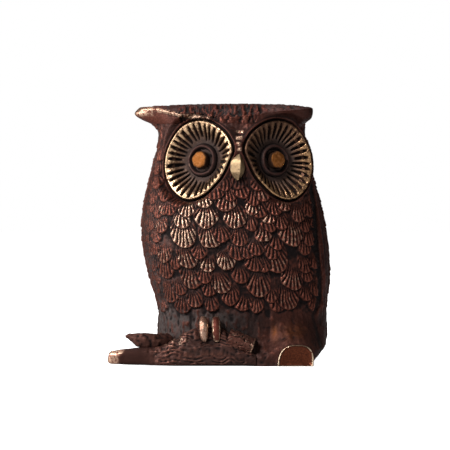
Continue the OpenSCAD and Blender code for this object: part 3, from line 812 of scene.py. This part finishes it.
def crown():
    rows, columns = 110, 420
    a, u = np.meshgrid(np.linspace(-180, 180, columns, endpoint=False), np.linspace(0, 0.999, rows))
    s, c = sin_deg(a), cos_deg(a)
    wall, dome = np.clip(u / 0.45, 0, 1), np.clip((u - 0.45) / 0.55, 0, 1)
    rim_z = brow_z(s)
    z = SEAT_Z + (rim_z - SEAT_Z) * wall + (HIGH[2] - rim_z) * np.sin(np.pi / 2 * dome)
    rim = body_surface(a, np.full_like(a, SEAT_Z), tufts=False)
    out = tuft(a, z)
    share = 1 - dome**1.8
    points = np.stack([
        BODY_X + (rim[..., 0] + out * s - BODY_X) * share,
        BODY_Y + (rim[..., 1] - out * c - BODY_Y) * share,
        z,
    ], axis=-1)
    points, out_of_disc = embed_eyes(points)
    eyes = ramp(out_of_disc, 1.35, 1.05)
    points[..., 2] = np.clip(points[..., 2], SEAT_Z, HIGH[2])
    x = points[..., 0]
    height = 0.35 * hump(z - rim_z + 0.1, 0.45) * ramp(a, -8, -25) * ramp(a, -150, -100)
    height += 0.20 * hump(z - rim_z, 0.5) * ramp(a, 20, 40) * ramp(a, 150, 110)
    hair = noise(points * (1.6, 0.26, 0.45), 1.0) + 0.5 * noise(points, 0.8)
    smooth_roll = ramp(a, 0, 25) * ramp(a, 120, 95) * ramp(dome, 0.25, 0.05)
    smooth_horn = ramp(a, -50, -70) * ramp(a, -120, -100) * ramp(dome, 0.3, 0.1)
    height += 0.20 * hair * (1 - 0.85 * smooth_roll) * (1 - 0.8 * smooth_horn) * ramp(wall, 0.3, 0.8)
    height += 0.05 * noise(points, 2.2)
    chased = strokes(x, z, ((-12, 12), (70.5, 75.5), (0.9, 1.9)), 260, 1.7, 0.40)
    height += chased * ramp(points[..., 1], -4, -8) * (1 - smooth_roll)
    edge = ramp(u, 0.0, 0.06) * ramp(u, 0.999, 0.9)
    height *= edge * (1 - 0.8 * eyes)
    # The brow rim on the owl's right, which faces the light, is rubbed bright: partly real wear and partly a
    # painted highlight.
    wear_and_painted_light = 0.25 + 0.55 * hump(z - rim_z + 0.1, 0.5) * ramp(a, -5, -25) * ramp(a, -140, -95)
    marks = marks_of(height, wear_and_painted_light, 0.15 + 0.2 * noise(points, 5.0), radius=4, wrap=True)
    marks["ridge"] *= 0.65
    # The owl's right tuft is lightened and its crest and point rubbed bright: partly real wear and partly
    # painted light on the side that faces the lamps.
    horn = ramp(x, -13, -20)
    point = ramp(x, -16, -23) * ramp(z, 71.0, 73.0)
    lit_crest = hump(z - rim_z + 0.25, 0.55) * ramp(a, -8, -30) * ramp(a, -150, -105)
    raise_mark(marks, "wear_and_painted_light", np.maximum(lit_crest, 0.8 * point))
    raise_mark(marks, "ridge", 0.75 * horn * ramp(a, -120, -100) * ramp(a, -20, -50))
    mark_border(marks, out_of_disc)
    points = points + normals(points, wrap=True) * height[..., None]
    points[..., 2] = np.clip(points[..., 2], SEAT_Z, HIGH[2])
    mesh_points, faces = tube(points)
    mesh_points[-2:, :2] = (BODY_X, BODY_Y)
    mesh_points[-2:, 2] = (SEAT_Z, HIGH[2])
    marks = extend_marks(marks, [0, 0.3])
    make_piece("crown_and_tufts", mesh_points, faces, ["crown"], dark_brass, marks)


crown()

# -------- eyes

RIDGES = 33
DISC_T = 4.6
HUB_SHARE = 0.22
# The outside and underside of a disc: depth below its front, share of its radius.
UNDERSIDE = ((0.55, 1.0), (1.7, 0.99), (1.75, 0.8), (DISC_T, 0.8), (DISC_T, HUB_SHARE))


def face_disc(side, node, material):
    """A dish with a rounded rim and fine rays that run in from it."""
    rays, rings = RIDGES * 12, 64
    angle = np.linspace(-180, 180, rays, endpoint=False)
    inner, outer = np.linspace(HUB_SHARE, 0.5, 12)[:-1], np.linspace(0.5, 0.985, rings - 12)
    share = np.concatenate([inner, outer, [1.0]])
    t, q = np.meshgrid(angle, share)
    edge = disc_radius(t, side)
    r = edge * q
    sink = ramp(r, edge - 0.9, 5.2)
    top = -0.28 + (DISH_FLOOR + 0.45) * sink ** 0.9
    jitter = 1.3 * np.sin(np.radians(t * 5) + side) + 0.6 * np.sin(np.radians(t * 11) + 2 * side)
    wave = 0.5 + 0.5 * cos_deg((t + jitter) * RIDGES)
    length = 0.55 + 0.35 * np.sin(np.radians(t * 7) + side)
    ends = 5.5 + 0.45 * np.sin(np.radians(t * 13) + side) + 0.35 * np.sin(np.radians(t * 4) + 1)
    reach = ramp(edge - r, 0.30 + 0.35 * length, 0.75 + 0.7 * length) * ramp(r, ends, ends + 1.5)
    narrow = -0.10 + 0.42 * ramp(edge - r, 0.5, 2.2) - 0.12 * ramp(edge - r, 3.0, 5.5)
    groove = (1 - ramp(wave, narrow, narrow + 0.38)) * reach
    rim = 0.22 * hump((edge - r) - 0.4, 0.35)
    height = -1.05 * groove * ramp(r, 5.0, 8.5) - 0.28 * groove + rim
    x, y = r * cos_deg(t), r * sin_deg(t)
    height += 0.05 * noise_at(x, y, 5 * side, 1.2)
    local = np.stack([x, y, top + height], axis=-1)
    lower = 0.65 + 0.35 * ramp(sin_deg(t), 0.7, -0.2)
    bright = ramp(edge - r, 4.6, 0.8) * (0.55 + 0.45 * ramp(wave, 0.5, 0.95) * lower)
    # Painted shade: on the owl's left disc, the brow's shadow takes the rubbed brightness off its upper
    # inner part.
    painted_brow_shade = ramp(cos_deg(t - 130), -0.6, 0.8) if side > 0 else 0.0
    polish_and_painted_light = np.clip(1.2 * bright, 0, 1) * (1 - ramp(groove, 0.08, 0.45)) * (1 - 0.78 * painted_brow_shade)
    marks = {
        "wear_and_painted_light": polish_and_painted_light,
        "ridge": np.clip(0.15 + 0.6 * ramp(wave, 0.5, 1.0), 0, 1) * (1 - groove) * ramp(r, 5.2, 7.5),
        "deep_and_painted_shade": np.clip(ramp(groove, 0.15, 0.6) + 0.55 * ramp(r, 7.0, 5.2), 0, 1),
        "dust": 0.45 * ramp(edge - r, 2.5, 5.0) * (1 - groove),
    }
    under = []
    for drop, scale in UNDERSIDE:
        radius = disc_radius(angle, side) * scale
        x, y = radius * cos_deg(angle), radius * sin_deg(angle)
        under.append(np.stack([x, y, np.full(rays, -drop)], axis=-1))
    sections = np.concatenate([local, np.array(under)])
    marks = extend_marks(marks, np.zeros(len(UNDERSIDE) * rays))
    points = from_eye(sections.reshape(-1, 3), side)
    faces = ring_faces(len(sections), rays)
    make_piece(node + "_rays", points, faces, [node], material, marks)


def turned(profile, count, wobble, side, scale_y=1.0):
    """Rings of points turned about the eye's axis. A profile's rows start with radius and height."""
    angle = np.linspace(0, 2 * np.pi, count, endpoint=False)
    uneven = 1 + wobble * np.sin(3 * angle + 2 * side) + wobble * 0.7 * np.sin(5 * angle + side)
    x, y = uneven * np.cos(angle), scale_y * uneven * np.sin(angle)
    rings = []
    for r, h, _ in profile:
        rings.append(np.stack([r * x, r * y, np.full(count, h)], -1))
    return np.array(rings)


# Profile of an eye collar, up its outside and down its bore: radius, height, how far it is rubbed.
COLLAR = (
    (1.4, -7.3, 0), (2.85, -7.3, 0), (2.85, -3.25, 0), (4.9, -3.2, 0), (5.0, -3.0, 0), (4.75, -2.62, 0),
    (4.5, -2.15, 0.4), (4.3, -1.86, 0.9), (4.1, -1.78, 1), (3.9, -1.85, 0.8), (3.72, -2.15, 0.3),
    (3.55, -2.7, 0), (3.3, -3.02, 0), (2.2, -3.06, 0), (1.4, -3.06, 0),
)
# Profile of a pupil pin, from its shank to its face, in the same order.
PUPIL = (
    (0.02, -6.5, 0), (1.3, -6.5, 0), (1.3, -3.05, 0), (2.3, -3.0, 0), (2.38, -1.8, 0), (2.36, -0.85, 0.1),
    (2.2, -0.62, 0.55), (1.9, -0.5, 0.95), (1.2, -0.46, 1), (0.5, -0.45, 1), (0.02, -0.45, 1),
)


def eye_collar(side, node, material):
    """A ring that stands in the middle of the dish, with a shank through the disc."""
    columns = 128
    rings = turned(COLLAR, columns, 0.012, side)
    level = by_ring([row[1] for row in COLLAR], columns)
    edge = by_ring([row[2] for row in COLLAR], columns)
    points = from_eye(rings.reshape(-1, 3), side)
    patch = 0.5 + 0.5 * noise(points, 1.6).reshape(edge.shape)
    marks = {
        "wear_and_painted_light": 0.38 * edge * patch,
        "ridge": edge * 0.10,
        "deep_and_painted_shade": np.clip(0.75 + 0.5 * ramp(level, -2.2, -3.0) - 0.5 * edge, 0, 1),
        "dust": 0.7 * (1 - 0.5 * edge) * ramp(level, -3.1, -2.4),
    }
    faces = ring_faces(len(COLLAR), columns)
    make_piece(node + "_ring", points, faces, [node], material, marks)


def pupil(side, node, material):
    """A slightly faceted peg whose flat end is worn bright."""
    columns = 72
    shoulder, end, flat = 3, 5, 7
    rings = turned(PUPIL, columns, 0.02, side, 1.06)
    angle = np.linspace(0, 2 * np.pi, columns, endpoint=False)
    facet = 1 - 0.05 * np.abs(np.sin(3.5 * angle + side)) ** 3
    rings[shoulder:, :, :2] *= facet[None, :, None]
    rings[end:, :, 2] += 0.04 * rings[end:, :, 0] * side - 0.05 * rings[end:, :, 1]
    rings[flat:, :, 2] += 0.05 * noise(rings[flat:] + 9 * side, 0.9)
    points, faces = tube(rings)
    face = by_ring([row[2] for row in PUPIL], columns)
    bright = np.append(face.ravel(), [0, 1])
    marks = {
        "wear_and_painted_light": bright,
        "ridge": bright,
        "deep_and_painted_shade": np.append((0.85 * (1 - face)).ravel(), [0, 0]),
        "dust": np.zeros(bright.size),
    }
    points = from_eye(points, side)
    make_piece(node + "_face", points, faces, [node], material, marks, sharp=50)


# The owl's left disc, on the shaded side, gets a darker and more orange gold than the right: partly its own
# tone and partly painted shade.
DISC_GOLD_LIT_AND_SHADED = {-1: (0.60, 0.395, 0.235), 1: (0.56, 0.325, 0.165)}
PUPIL_GOLD = (0.235, 0.085, 0.022)
pupil_brass = patina("orange_brass", (0.10, 0.040, 0.015), (0.30, 0.12, 0.04), PUPIL_GOLD, rough=0.72)
for eye_side, hand in ((-1, "right"), (1, "left")):
    disc_brass = patina(
        f"rubbed_brass_{hand}", (0.055, 0.027, 0.018), (0.20, 0.110, 0.062), DISC_GOLD_LIT_AND_SHADED[eye_side]
    )
    face_disc(eye_side, f"face_disc_{hand}", disc_brass)
    eye_collar(eye_side, f"eye_collar_{hand}", dark_brass)
    pupil(eye_side, f"pupil_pin_{hand}", pupil_brass)

# -------- beak


def beak(material):
    """A ridged almond between the discs, with a flat back."""
    low, high = box("beak")
    top, tip, front = high[2] + 0.7, low[2], low[1]
    middle = FACE_X - 0.35
    rows, columns = 56, 72
    s = np.linspace(0.004, 0.996, rows)
    half = 0.44 * BEAK_W * smooth_curve(
        s, [0, 0.12, 0.3, 0.5, 0.65, 0.82, 0.93, 1], [0.02, 0.32, 0.72, 0.98, 1, 0.74, 0.42, 0.03]
    )
    z = top + (tip - top) * s
    ridge_y = front + 0.25 + 2.6 * (1 - ramp(s, 0.0, 0.55)) ** 1.6 + 1.5 * ramp(s, 0.72, 1.0)
    ridge_x = middle + 0.2 + 0.75 * np.sin(np.pi * s)
    wing_y = ridge_y + 0.5 + 1.25 * half / (BEAK_W / 2)
    back_y = np.maximum(front + 5.2, wing_y + 0.4)
    t = np.linspace(0, 1, columns, endpoint=False)
    sections = np.zeros((rows, columns, 3))
    across = np.array([0, 0.5, 0.9, 1.0, 0.9, 0.45, 0, -0.45, -0.9, -1.0, -0.9, -0.5, 0])
    depth = np.array([0, 0.5, 0.88, 1.05, 1.25, 2, 2, 2, 1.25, 1.05, 0.88, 0.5, 0])
    knots = np.linspace(0, 1, len(across))
    a, d = smooth_curve(t, knots, across), smooth_curve(t, knots, depth)
    for i in range(rows):
        centre = middle + (ridge_x[i] - middle) * np.clip(1 - np.abs(a), 0, 1)
        y = ridge_y[i] + (wing_y[i] - ridge_y[i]) * np.minimum(d, 1)
        y += (back_y[i] - wing_y[i]) * np.clip(d - 1, 0, 1)
        sections[i] = np.stack([centre + half[i] * a, y, np.full(columns, z[i])], -1)
    sections[..., 1] += 0.05 * noise(sections, 1.4)
    points, faces = tube(sections)
    front_face = np.repeat(ramp(d, 1.15, 0.9)[None, :], rows, axis=0)
    pits = ramp(noise(sections, 0.55), 0.42, 0.75)
    marks = {
        "wear_and_painted_light": np.append((front_face * (1 - 0.5 * pits)).ravel(), [1, 1]),
        "ridge": np.append(front_face.ravel(), [1, 1]),
        "deep_and_painted_shade": np.append((0.9 * (1 - front_face) + 0.3 * pits * front_face).ravel(), [0, 0]),
        "dust": np.zeros(rows * columns + 2),
    }
    make_piece("beak_point", points, faces, ["beak"], material, marks)


beak(patina("pale_brass", (0.12, 0.075, 0.045), (0.26, 0.185, 0.11), PALE_GOLD, rough=0.52))

# -------- branch

BRANCH_LOW, BRANCH_HIGH = box("branch")
BRANCH_H = BRANCH_HIGH[2]
LOG_X = BRANCH_HIGH[0] - 23.0
LANDING_Y = body_surface(np.array([0.0]), np.array([0.0]))[0, 1] + 3.0

# Rows of the branch: 0 at its tip, 1 where its thick part starts, 2 at its broken end. Then its
# top as a share of its height, its underside, and where its front and back stand.
BRANCH_ROWS = np.array([
    [0.00, 0.22, 0.12, 0.33, 0.47],
    [0.012, 0.31, 0.08, 0.25, 0.55],
    [0.04, 0.375, 0.06, 0.19, 0.60],
    [0.10, 0.40, 0.05, 0.155, 0.63],
    [0.20, 0.43, 0.04, 0.13, 0.67],
    [0.43, 0.475, 0.03, 0.10, 0.72],
    [0.78, 0.50, 0.01, 0.07, 0.86],
    [1.00, 0.70, 0.00, 0.03, 1.00],
    [1.19, 0.92, 0.00, 0.01, 1.00],
    [1.41, 0.99, 0.00, 0.00, 1.00],
    [1.60, 0.95, 0.00, 0.01, 1.00],
    [1.72, 0.72, 0.00, 0.03, 1.00],
    [1.86, 0.44, 0.00, 0.08, 1.00],
    [2.00, 0.34, 0.00, 0.14, 1.00],
])


def bark(x, z, points):
    """Wavy ridges that run along the log and break up here and there."""
    level = z + 0.35 * np.sin(x / 1.9) + 1.3 * noise(points * (0.6, 1, 1), 1.9)
    ridge = 0.5 + 0.5 * np.cos(level * 2 * np.pi / 1.05)
    broken = ramp(noise(points * (0.6, 1, 1) + 40, 1.5), -0.55, 0.1)
    return 0.34 * ridge**1.5 * broken + 0.16 * noise(points, 0.7) - 0.15


TOES_X = np.mean([corner[0] for toe_name in ("toe_outer", "toe_inner") for corner in box(toe_name)])


def branch(material):
    """The log and its bare, rounded tip, with a seat for the toes."""
    rows, columns = 250, 150
    share = np.concatenate([np.linspace(0, 0.06, 14)[:-1], np.linspace(0.06, 2.0, rows - 13)])
    curves = [smooth_curve(share, BRANCH_ROWS[:, 0], BRANCH_ROWS[:, k])[:, None] for k in range(1, 5)]
    top, under, near, far = curves
    x = by_ring(np.interp(share, [0, 1, 2], [BRANCH_LOW[0], LOG_X, BRANCH_HIGH[0]]), columns)
    reach = LANDING_Y - 0.05 - LOW[1]
    front, back = LOW[1] + near * reach, LOW[1] + far * reach
    floor, roof = under * BRANCH_H, top * BRANCH_H
    waist = floor + (roof - floor) * 0.42
    t = np.linspace(0, 2 * np.pi, columns, endpoint=False)
    lift, across = np.sin(t), np.cos(t)
    above_waist = (roof - waist) * np.abs(lift) ** 0.75
    below_waist = (waist - floor) * np.abs(lift) ** 0.45
    z = waist + np.where(lift > 0, above_waist, -below_waist)
    y = (front + back) / 2 - (back - front) / 2 * np.sign(across) * np.abs(across) ** 0.75
    under_toes = hump(x - TOES_X, 4.4) * ramp(z, 5.4, 7.4) * (across > 0.1)
    points = np.stack([x, y + 1.5 * under_toes, z - 0.5 * under_toes], axis=-1)
    woody = ramp(x, -22.5, -17.5)
    height = woody * ramp(z, 0.0, 0.8) * bark(x, z, points) + (1 - woody) * 0.06 * noise(points, 1.6)
    lip = np.abs(lift - 0.72)[None, :] < 0.25
    height += woody * 0.35 * lip * ramp(np.sin(x * 1.7) + 0.6 * noise(points, 2.0), -0.4, 0.6)
    height *= ramp(share, 0.0, 0.03)[:, None]
    # The upper left of the bark, which faces the light, gets brighter wear and lighter ridges: partly real
    # rubbing and partly a painted highlight.
    lit_upper_left = ramp(x, -6, -12) * ramp(z, 3.5, 6.5) * woody
    marks = marks_of(height, 0.06 + 0.4 * lit_upper_left, 0.35 * woody, radius=3, wrap=True)
    plates = hump(np.abs(noise(points * (0.45, 1, 1) + 20, 1.7)) - 0.06, 0.05) * woody * ramp(z, 1.0, 5.0)
    raise_mark(marks, "wear_and_painted_light", plates * (0.15 + 0.6 * lit_upper_left))
    marks["ridge"] *= 0.5 + 0.5 * lit_upper_left
    # Painted shade on the seat under the toes.
    raise_mark(marks, "deep_and_painted_shade", 0.8 * under_toes)
    # Painted shade: the smooth part is darkened all over, and the bark more so towards the toes.
    shade = 0.62 * (1 - woody) + 0.42 * woody * ramp(x, -14, -4)
    raise_mark(marks, "deep_and_painted_shade", shade * (1 - 0.6 * marks["ridge"]))
    tip = ramp(x - 1.5 * ramp(z, 2.5, 4.5), BRANCH_LOW[0] + 3.9, BRANCH_LOW[0] + 2.2)
    raise_mark(marks, "wear_and_painted_light", tip)
    raise_mark(marks, "ridge", tip)
    marks["deep_and_painted_shade"] *= 1 - tip
    raise_mark(marks, "deep_and_painted_shade", 0.55 * ramp(x, -1, 4) * ramp(z, 4.5, 2))
    points = points - normals(points, wrap=True) * height[..., None]
    points[..., 1] = np.clip(points[..., 1], LOW[1], LANDING_Y)
    points[..., 0] = np.maximum(points[..., 0], LOW[0])
    points[..., 2] = np.maximum(points[..., 2], 0)
    make_tube("branch_bark", points, "branch", material, marks, [1, 0])


def rounded_end(t):
    """Share of the radius near a limb's end, from 0 at the end to 1 a little way in."""
    return np.sqrt(np.clip(1 - (1 - np.clip(t / 0.07, 0, 1)) ** 2, 0, 1))


def limb(
    path, radii, name, node, material, wear_and_painted_light, detail, flat, outlined=0.0, steps=70
):
    """A rounded, tapering limb through a few points. Outlined gives its front a bright edge."""
    columns = 64
    path, radii = np.asarray(path, float), np.asarray(radii, float)
    knots = np.linspace(0, 1, len(path))
    t = np.linspace(0, 1, steps)
    centre = np.stack([smooth_curve(t, knots, path[:, k]) for k in range(3)], axis=-1)
    radius = smooth_curve(t, knots, radii)
    radius = np.maximum(radius * rounded_end(t) * rounded_end(1 - t), 0.02)
    along = unit(np.gradient(centre, axis=0))
    side = unit(np.cross(along, [0.0, 1.0, 0.0]))
    third = np.cross(along, side)
    angle = np.linspace(0, 2 * np.pi, columns, endpoint=False)
    sideways = np.cos(angle)[None, :, None] * side[:, None, :]
    outward = np.sin(angle)[None, :, None] * third[:, None, :]
    ring = radius[:, None, None] * (sideways + flat * outward)
    points = centre[:, None, :] + ring
    height = detail * noise(points, 0.9) + 0.05 * noise(points, 2.0)
    points = points + height[..., None] * unit(ring)
    marks = marks_of(height, wear_and_painted_light, 0.15, radius=3, wrap=True)
    aside = np.abs(np.cos(angle))[None, :] * np.ones((steps, 1))
    ends = np.abs(t - 0.5)[:, None] * 2
    border = np.maximum(hump(aside - 0.8, 0.2) * (ends < 0.93), hump(ends - 0.86, 0.07) * (aside < 0.85))
    raise_mark(marks, "deep_and_painted_shade", 0.4 * (wear_and_painted_light < 0.5) * (1 - outlined))
    in_front = points[..., 1] < centre[:, None, 1]
    raise_mark(marks, "wear_and_painted_light", np.maximum(wear_and_painted_light * 0.9, outlined * border * in_front))
    raise_mark(marks, "deep_and_painted_shade", 0.7 * (points[..., 1] > centre[:, None, 1] + 0.2 * radius[:, None]))
    raise_mark(marks, "ridge", wear_and_painted_light)
    make_tube(name, points, node, material, marks, [0.3, 0.3])


branch_brass = patina("bark_brass", (0.080, 0.028, 0.020), (0.24, 0.115, 0.085), rough=0.45)
branch(branch_brass)

twig_low, twig_high = box("branch_twig")
twig_y = (twig_low[1] + twig_high[1]) / 2
TWIG_PATH = [
    (-14.5, twig_y + 5.5, 5.4),
    (-18.4, twig_y + 1.8, 6.3),
    (-22.6, twig_y, 7.2),
    (-25.4, twig_y, 8.3),
    (-27.3, twig_y, 8.7),
]
TWIG_RADII = [3.6, 3.0, 2.3, 1.1, 0.3]
limb(TWIG_PATH, TWIG_RADII, "twig", "branch_twig", branch_brass, 0.1, detail=0.30, flat=0.8)

chunk_low = box("branch_chunk")[0]


def chunk(material):
    """The branch's broken end: rough plates round it, and a flat, rimmed face."""
    side_rows, face_rows, columns = 62, 8, 96
    length, droop = 7.6, 20
    start = np.array([chunk_low[0] + 1.6, chunk_low[1] + 2.8, BRANCH_H * 0.72])
    axis = np.array([cos_deg(droop), 0, -sin_deg(droop)])
    up = np.array([sin_deg(droop), 0, cos_deg(droop)])
    forward = np.array([0, -1.0, 0])
    along = np.concatenate([np.linspace(0, length, side_rows), np.full(face_rows, length)])
    side_size = 2.9 - 0.35 * ramp(along[:side_rows], 2.0, length)
    size = np.concatenate([side_size, np.linspace(0.95, 0.1, face_rows) * side_size[-1]])[:, None]
    angle = np.linspace(0, 2 * np.pi, columns, endpoint=False)
    lump = 1 + 0.09 * np.sin(3 * angle + 1) + 0.05 * np.sin(7 * angle)
    centre = start + along[:, None, None] * axis
    points = centre + (size * lump * np.sin(angle))[..., None] * up * 0.92
    points = points + (size * lump * np.cos(angle))[..., None] * forward
    body = (np.arange(side_rows + face_rows) < side_rows).astype(float)[:, None]
    cracks = np.abs(noise(points * (0.6, 1, 1), 0.95)) + 0.3 * np.abs(noise(points * (1, 1, 0.4) + 9, 1.3))
    rough = 0.50 * ramp(cracks, 0.02, 0.3) + 0.14 * noise(points, 0.5) - 0.3
    rim = hump(along[:, None] - length + 0.1, 0.25) * body
    height = body * rough + (1 - body) * 0.14 * noise(points, 0.8) + 0.15 * rim
    height += 0.18 * (1 - body) * hump(size - 2.25, 0.25)
    direction = np.where(body[..., None] > 0.5, unit(points - centre), axis)
    marks = marks_of(height, 0.25, 0.1, radius=3, wrap=True)
    plates = body * hump(cracks - 0.13, 0.055) * (0.6 + 0.4 * ramp(noise(points, 3.0), -0.2, 0.4))
    raise_mark(marks, "wear_and_painted_light", np.maximum(plates, 0.9 * rim))
    worn = ramp(noise(points + 3, 0.8), -0.3, 0.5) * ramp(cracks, 0.05, 0.2)
    raise_mark(marks, "ridge", 0.5 * body * worn)
    points = points + direction * height[..., None]
    points[..., 1] = np.maximum(points[..., 1], LOW[1])
    make_tube("broken_end", points, "branch_chunk", material, marks, [0, 0])


chunk(branch_brass)


# Rings of the sawn stub, from its root to the middle of its face: share of its size, distance
# behind its front, then how far it is rubbed, how light its face is and how dark it is.
STUB_RINGS = (
    (1.0, 8.5, 0, 0, 0.5), (1.0, 4.0, 0, 0, 0.5), (1.0, 0.7, 0.2, 0, 0.4), (0.995, 0.25, 0.75, 0, 0),
    (0.97, 0.05, 1, 0, 0), (0.94, 0.0, 1, 0, 0), (0.915, 0.08, 0.8, 0.2, 0), (0.89, 0.32, 0.2, 0.8, 0.3),
    (0.87, 0.42, 0, 1, 0), (0.7, 0.5, 0, 1, 0), (0.45, 0.55, 0, 1, 0), (0.2, 0.56, 0, 1, 0),
)
STUB_FACE = 8


def stub(material):
    """A sawn stub: smooth sides, a thin raised edge and a slightly hollow face."""
    columns = 128
    angle = np.linspace(0, 2 * np.pi, columns, endpoint=False)
    across = np.sign(np.cos(angle)) * np.abs(np.cos(angle)) ** 0.72
    rise = np.maximum(np.sin(angle), 0) ** 0.68
    rings = []
    for scale, inward, *_ in STUB_RINGS:
        x = STUB_X + 0.5 * rise + STUB_W / 2 * scale * across
        z = np.where(np.sin(angle) < 0, 0.5 * (1 - scale), 0.5 + (rise - 0.5) * scale) * STUB_H
        rings.append(np.stack([x, np.full(columns, STUB_LOW[1] + inward), z], -1))
    points = np.array(rings)
    face_points = points[STUB_FACE:]
    points[STUB_FACE:, :, 1] += 0.10 * noise(face_points, 1.8) + 0.05 * noise(face_points, 0.7)
    mesh_points, faces = tube(points)
    edge, face, dark = (by_ring([row[k] for row in STUB_RINGS], columns).ravel() for k in (2, 3, 4))
    marks = {
        "wear_and_painted_light": np.append(edge, [0, 0]),
        "ridge": np.append(np.maximum(edge, 0.8 * face), [0, 0.8]),
        "deep_and_painted_shade": np.append(dark, [0, 0]),
        "dust": np.zeros(edge.size + 2),
    }
    make_piece("sawn_stub", mesh_points, faces, ["branch_stub"], material, marks, sharp=60)


stub(patina("sawn_brass", (0.040, 0.012, 0.007), (0.125, 0.034, 0.016), (0.80, 0.60, 0.42), rough=0.36))

# -------- toes


def toe(node, material, wear_and_painted_light, outlined):
    """A claw that curls down over the front of the branch."""
    low, high = box(node)
    x, front, width = (low[0] + high[0]) / 2, low[1], high[0] - low[0]
    path = [
        (x, front + 3.4, high[2] - 0.3),
        (x, front + 1.7, high[2] - 1.5),
        (x + 0.1, front + 0.9, low[2] + 4.4),
        (x + 0.2, front + 0.6, low[2] + 1.9),
        (x + 0.3, front + 0.8, low[2] + 0.2),
    ]
    radii = [width * share for share in (0.40, 0.54, 0.56, 0.50, 0.26)]
    limb(
        path, radii, node + "_claw", node, material, wear_and_painted_light,
        detail=0.07, flat=0.95, outlined=outlined, steps=60,
    )


toe_bright = patina("toe_bright", (0.13, 0.055, 0.035), (0.42, 0.22, 0.15), (0.50, 0.33, 0.24))
toe("toe_outer", toe_bright, 0.7, 0.9)
toe_dark = patina("toe_dark", (0.10, 0.024, 0.015), (0.28, 0.085, 0.05), (0.90, 0.66, 0.46))
toe("toe_inner", toe_dark, 0.0, 1.0)

# -------- hidden pins and screws

steel, steel_shader = new_material("plain_steel")
steel_nodes = Nodes(steel)
turning = steel_nodes.noise(1.5, 3.0, 0.5, stretch=(1, 8, 1))
steel_nodes.fill(
    steel_shader,
    Base_Color=steel_nodes.mix(turning, (0.42, 0.42, 0.41), (0.60, 0.59, 0.57)),
    Roughness=steel_nodes.range(turning, 0.3, 0.7, 0.28, 0.42),
    Metallic=1.0,
)
for hidden in ("seam_pins", "branch_screws"):
    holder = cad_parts[hidden]
    holder.data.materials.clear()
    holder.data.materials.append(steel)

# -------- floor, light and camera


def stage():
    size = 1.6
    mesh = bpy.data.meshes.new("floor")
    corners = [(-size, -size, 0), (size, -size, 0), (size, size, 0), (-size, size, 0)]
    mesh.from_pydata(corners, [], [[0, 1, 2, 3]])
    floor = bpy.data.objects.new("floor", mesh)
    bpy.context.scene.collection.objects.link(floor)
    material, shader = new_material("pale_floor")
    n = Nodes(material)
    glow = n.mix_number(n.node("LightPath").outputs["Is Camera Ray"], 0.0, 0.97)
    n.fill(shader, Base_Color=(0.6, 0.6, 0.6, 1), Roughness=0.9)
    n.fill(shader, Emission_Color=(1, 1, 1, 1), Emission_Strength=glow)
    mesh.materials.append(material)
    world = bpy.data.worlds.new("studio")
    world.use_nodes = True
    bpy.context.scene.world = world
    world.node_tree.nodes.clear()
    n = Nodes(world)
    seen = n.node("Background", Color=(1, 1, 1, 1))
    lit = n.node("Background", Color=(1, 1, 1, 1), Strength=0.10)
    mix = n.node("MixShader")
    to_camera = n.node("LightPath").outputs["Is Camera Ray"]
    for source, socket in zip((to_camera, lit.outputs[0], seen.outputs[0]), mix.inputs):
        n.tree.links.new(source, socket)
    n.node("OutputWorld", Surface=mix.outputs[0])


def area_light(name, place, target, size, power):
    light = bpy.data.lights.new(name, "AREA")
    light.shape = "DISK"
    light.size, light.energy = size, power
    lamp = bpy.data.objects.new(name, light)
    lamp.location = place
    lamp.rotation_euler = (Vector(target) - Vector(place)).to_track_quat("-Z", "Y").to_euler()
    bpy.context.scene.collection.objects.link(lamp)


stage()
MIDDLE = (0.0, 0.0, 0.04)
area_light("key", (-0.40, -0.55, 0.50), MIDDLE, 0.16, 8.5)
area_light("side", (-0.62, -0.10, 0.22), MIDDLE, 0.45, 5.0)
area_light("top", (-0.05, 0.25, 0.65), MIDDLE, 0.4, 2.5)
area_light("fill", (0.50, -0.50, 0.20), MIDDLE, 0.3, 0.5)

camera_data = bpy.data.cameras.new("camera")
camera_data.lens, camera_data.sensor_width = 217, 36
camera_data.clip_start = 0.01
camera = bpy.data.objects.new("camera", camera_data)
aim = Vector((0.0016, -0.010, 0.0405))
elevation = np.radians(1.2)
reach = 0.79
camera.location = aim + Vector((0, -reach * np.cos(elevation), reach * np.sin(elevation)))
camera.rotation_euler = (aim - camera.location).to_track_quat("-Z", "Y").to_euler()
bpy.context.scene.collection.objects.link(camera)
bpy.context.scene.camera = camera
bpy.context.scene.view_settings.view_transform = "Standard"
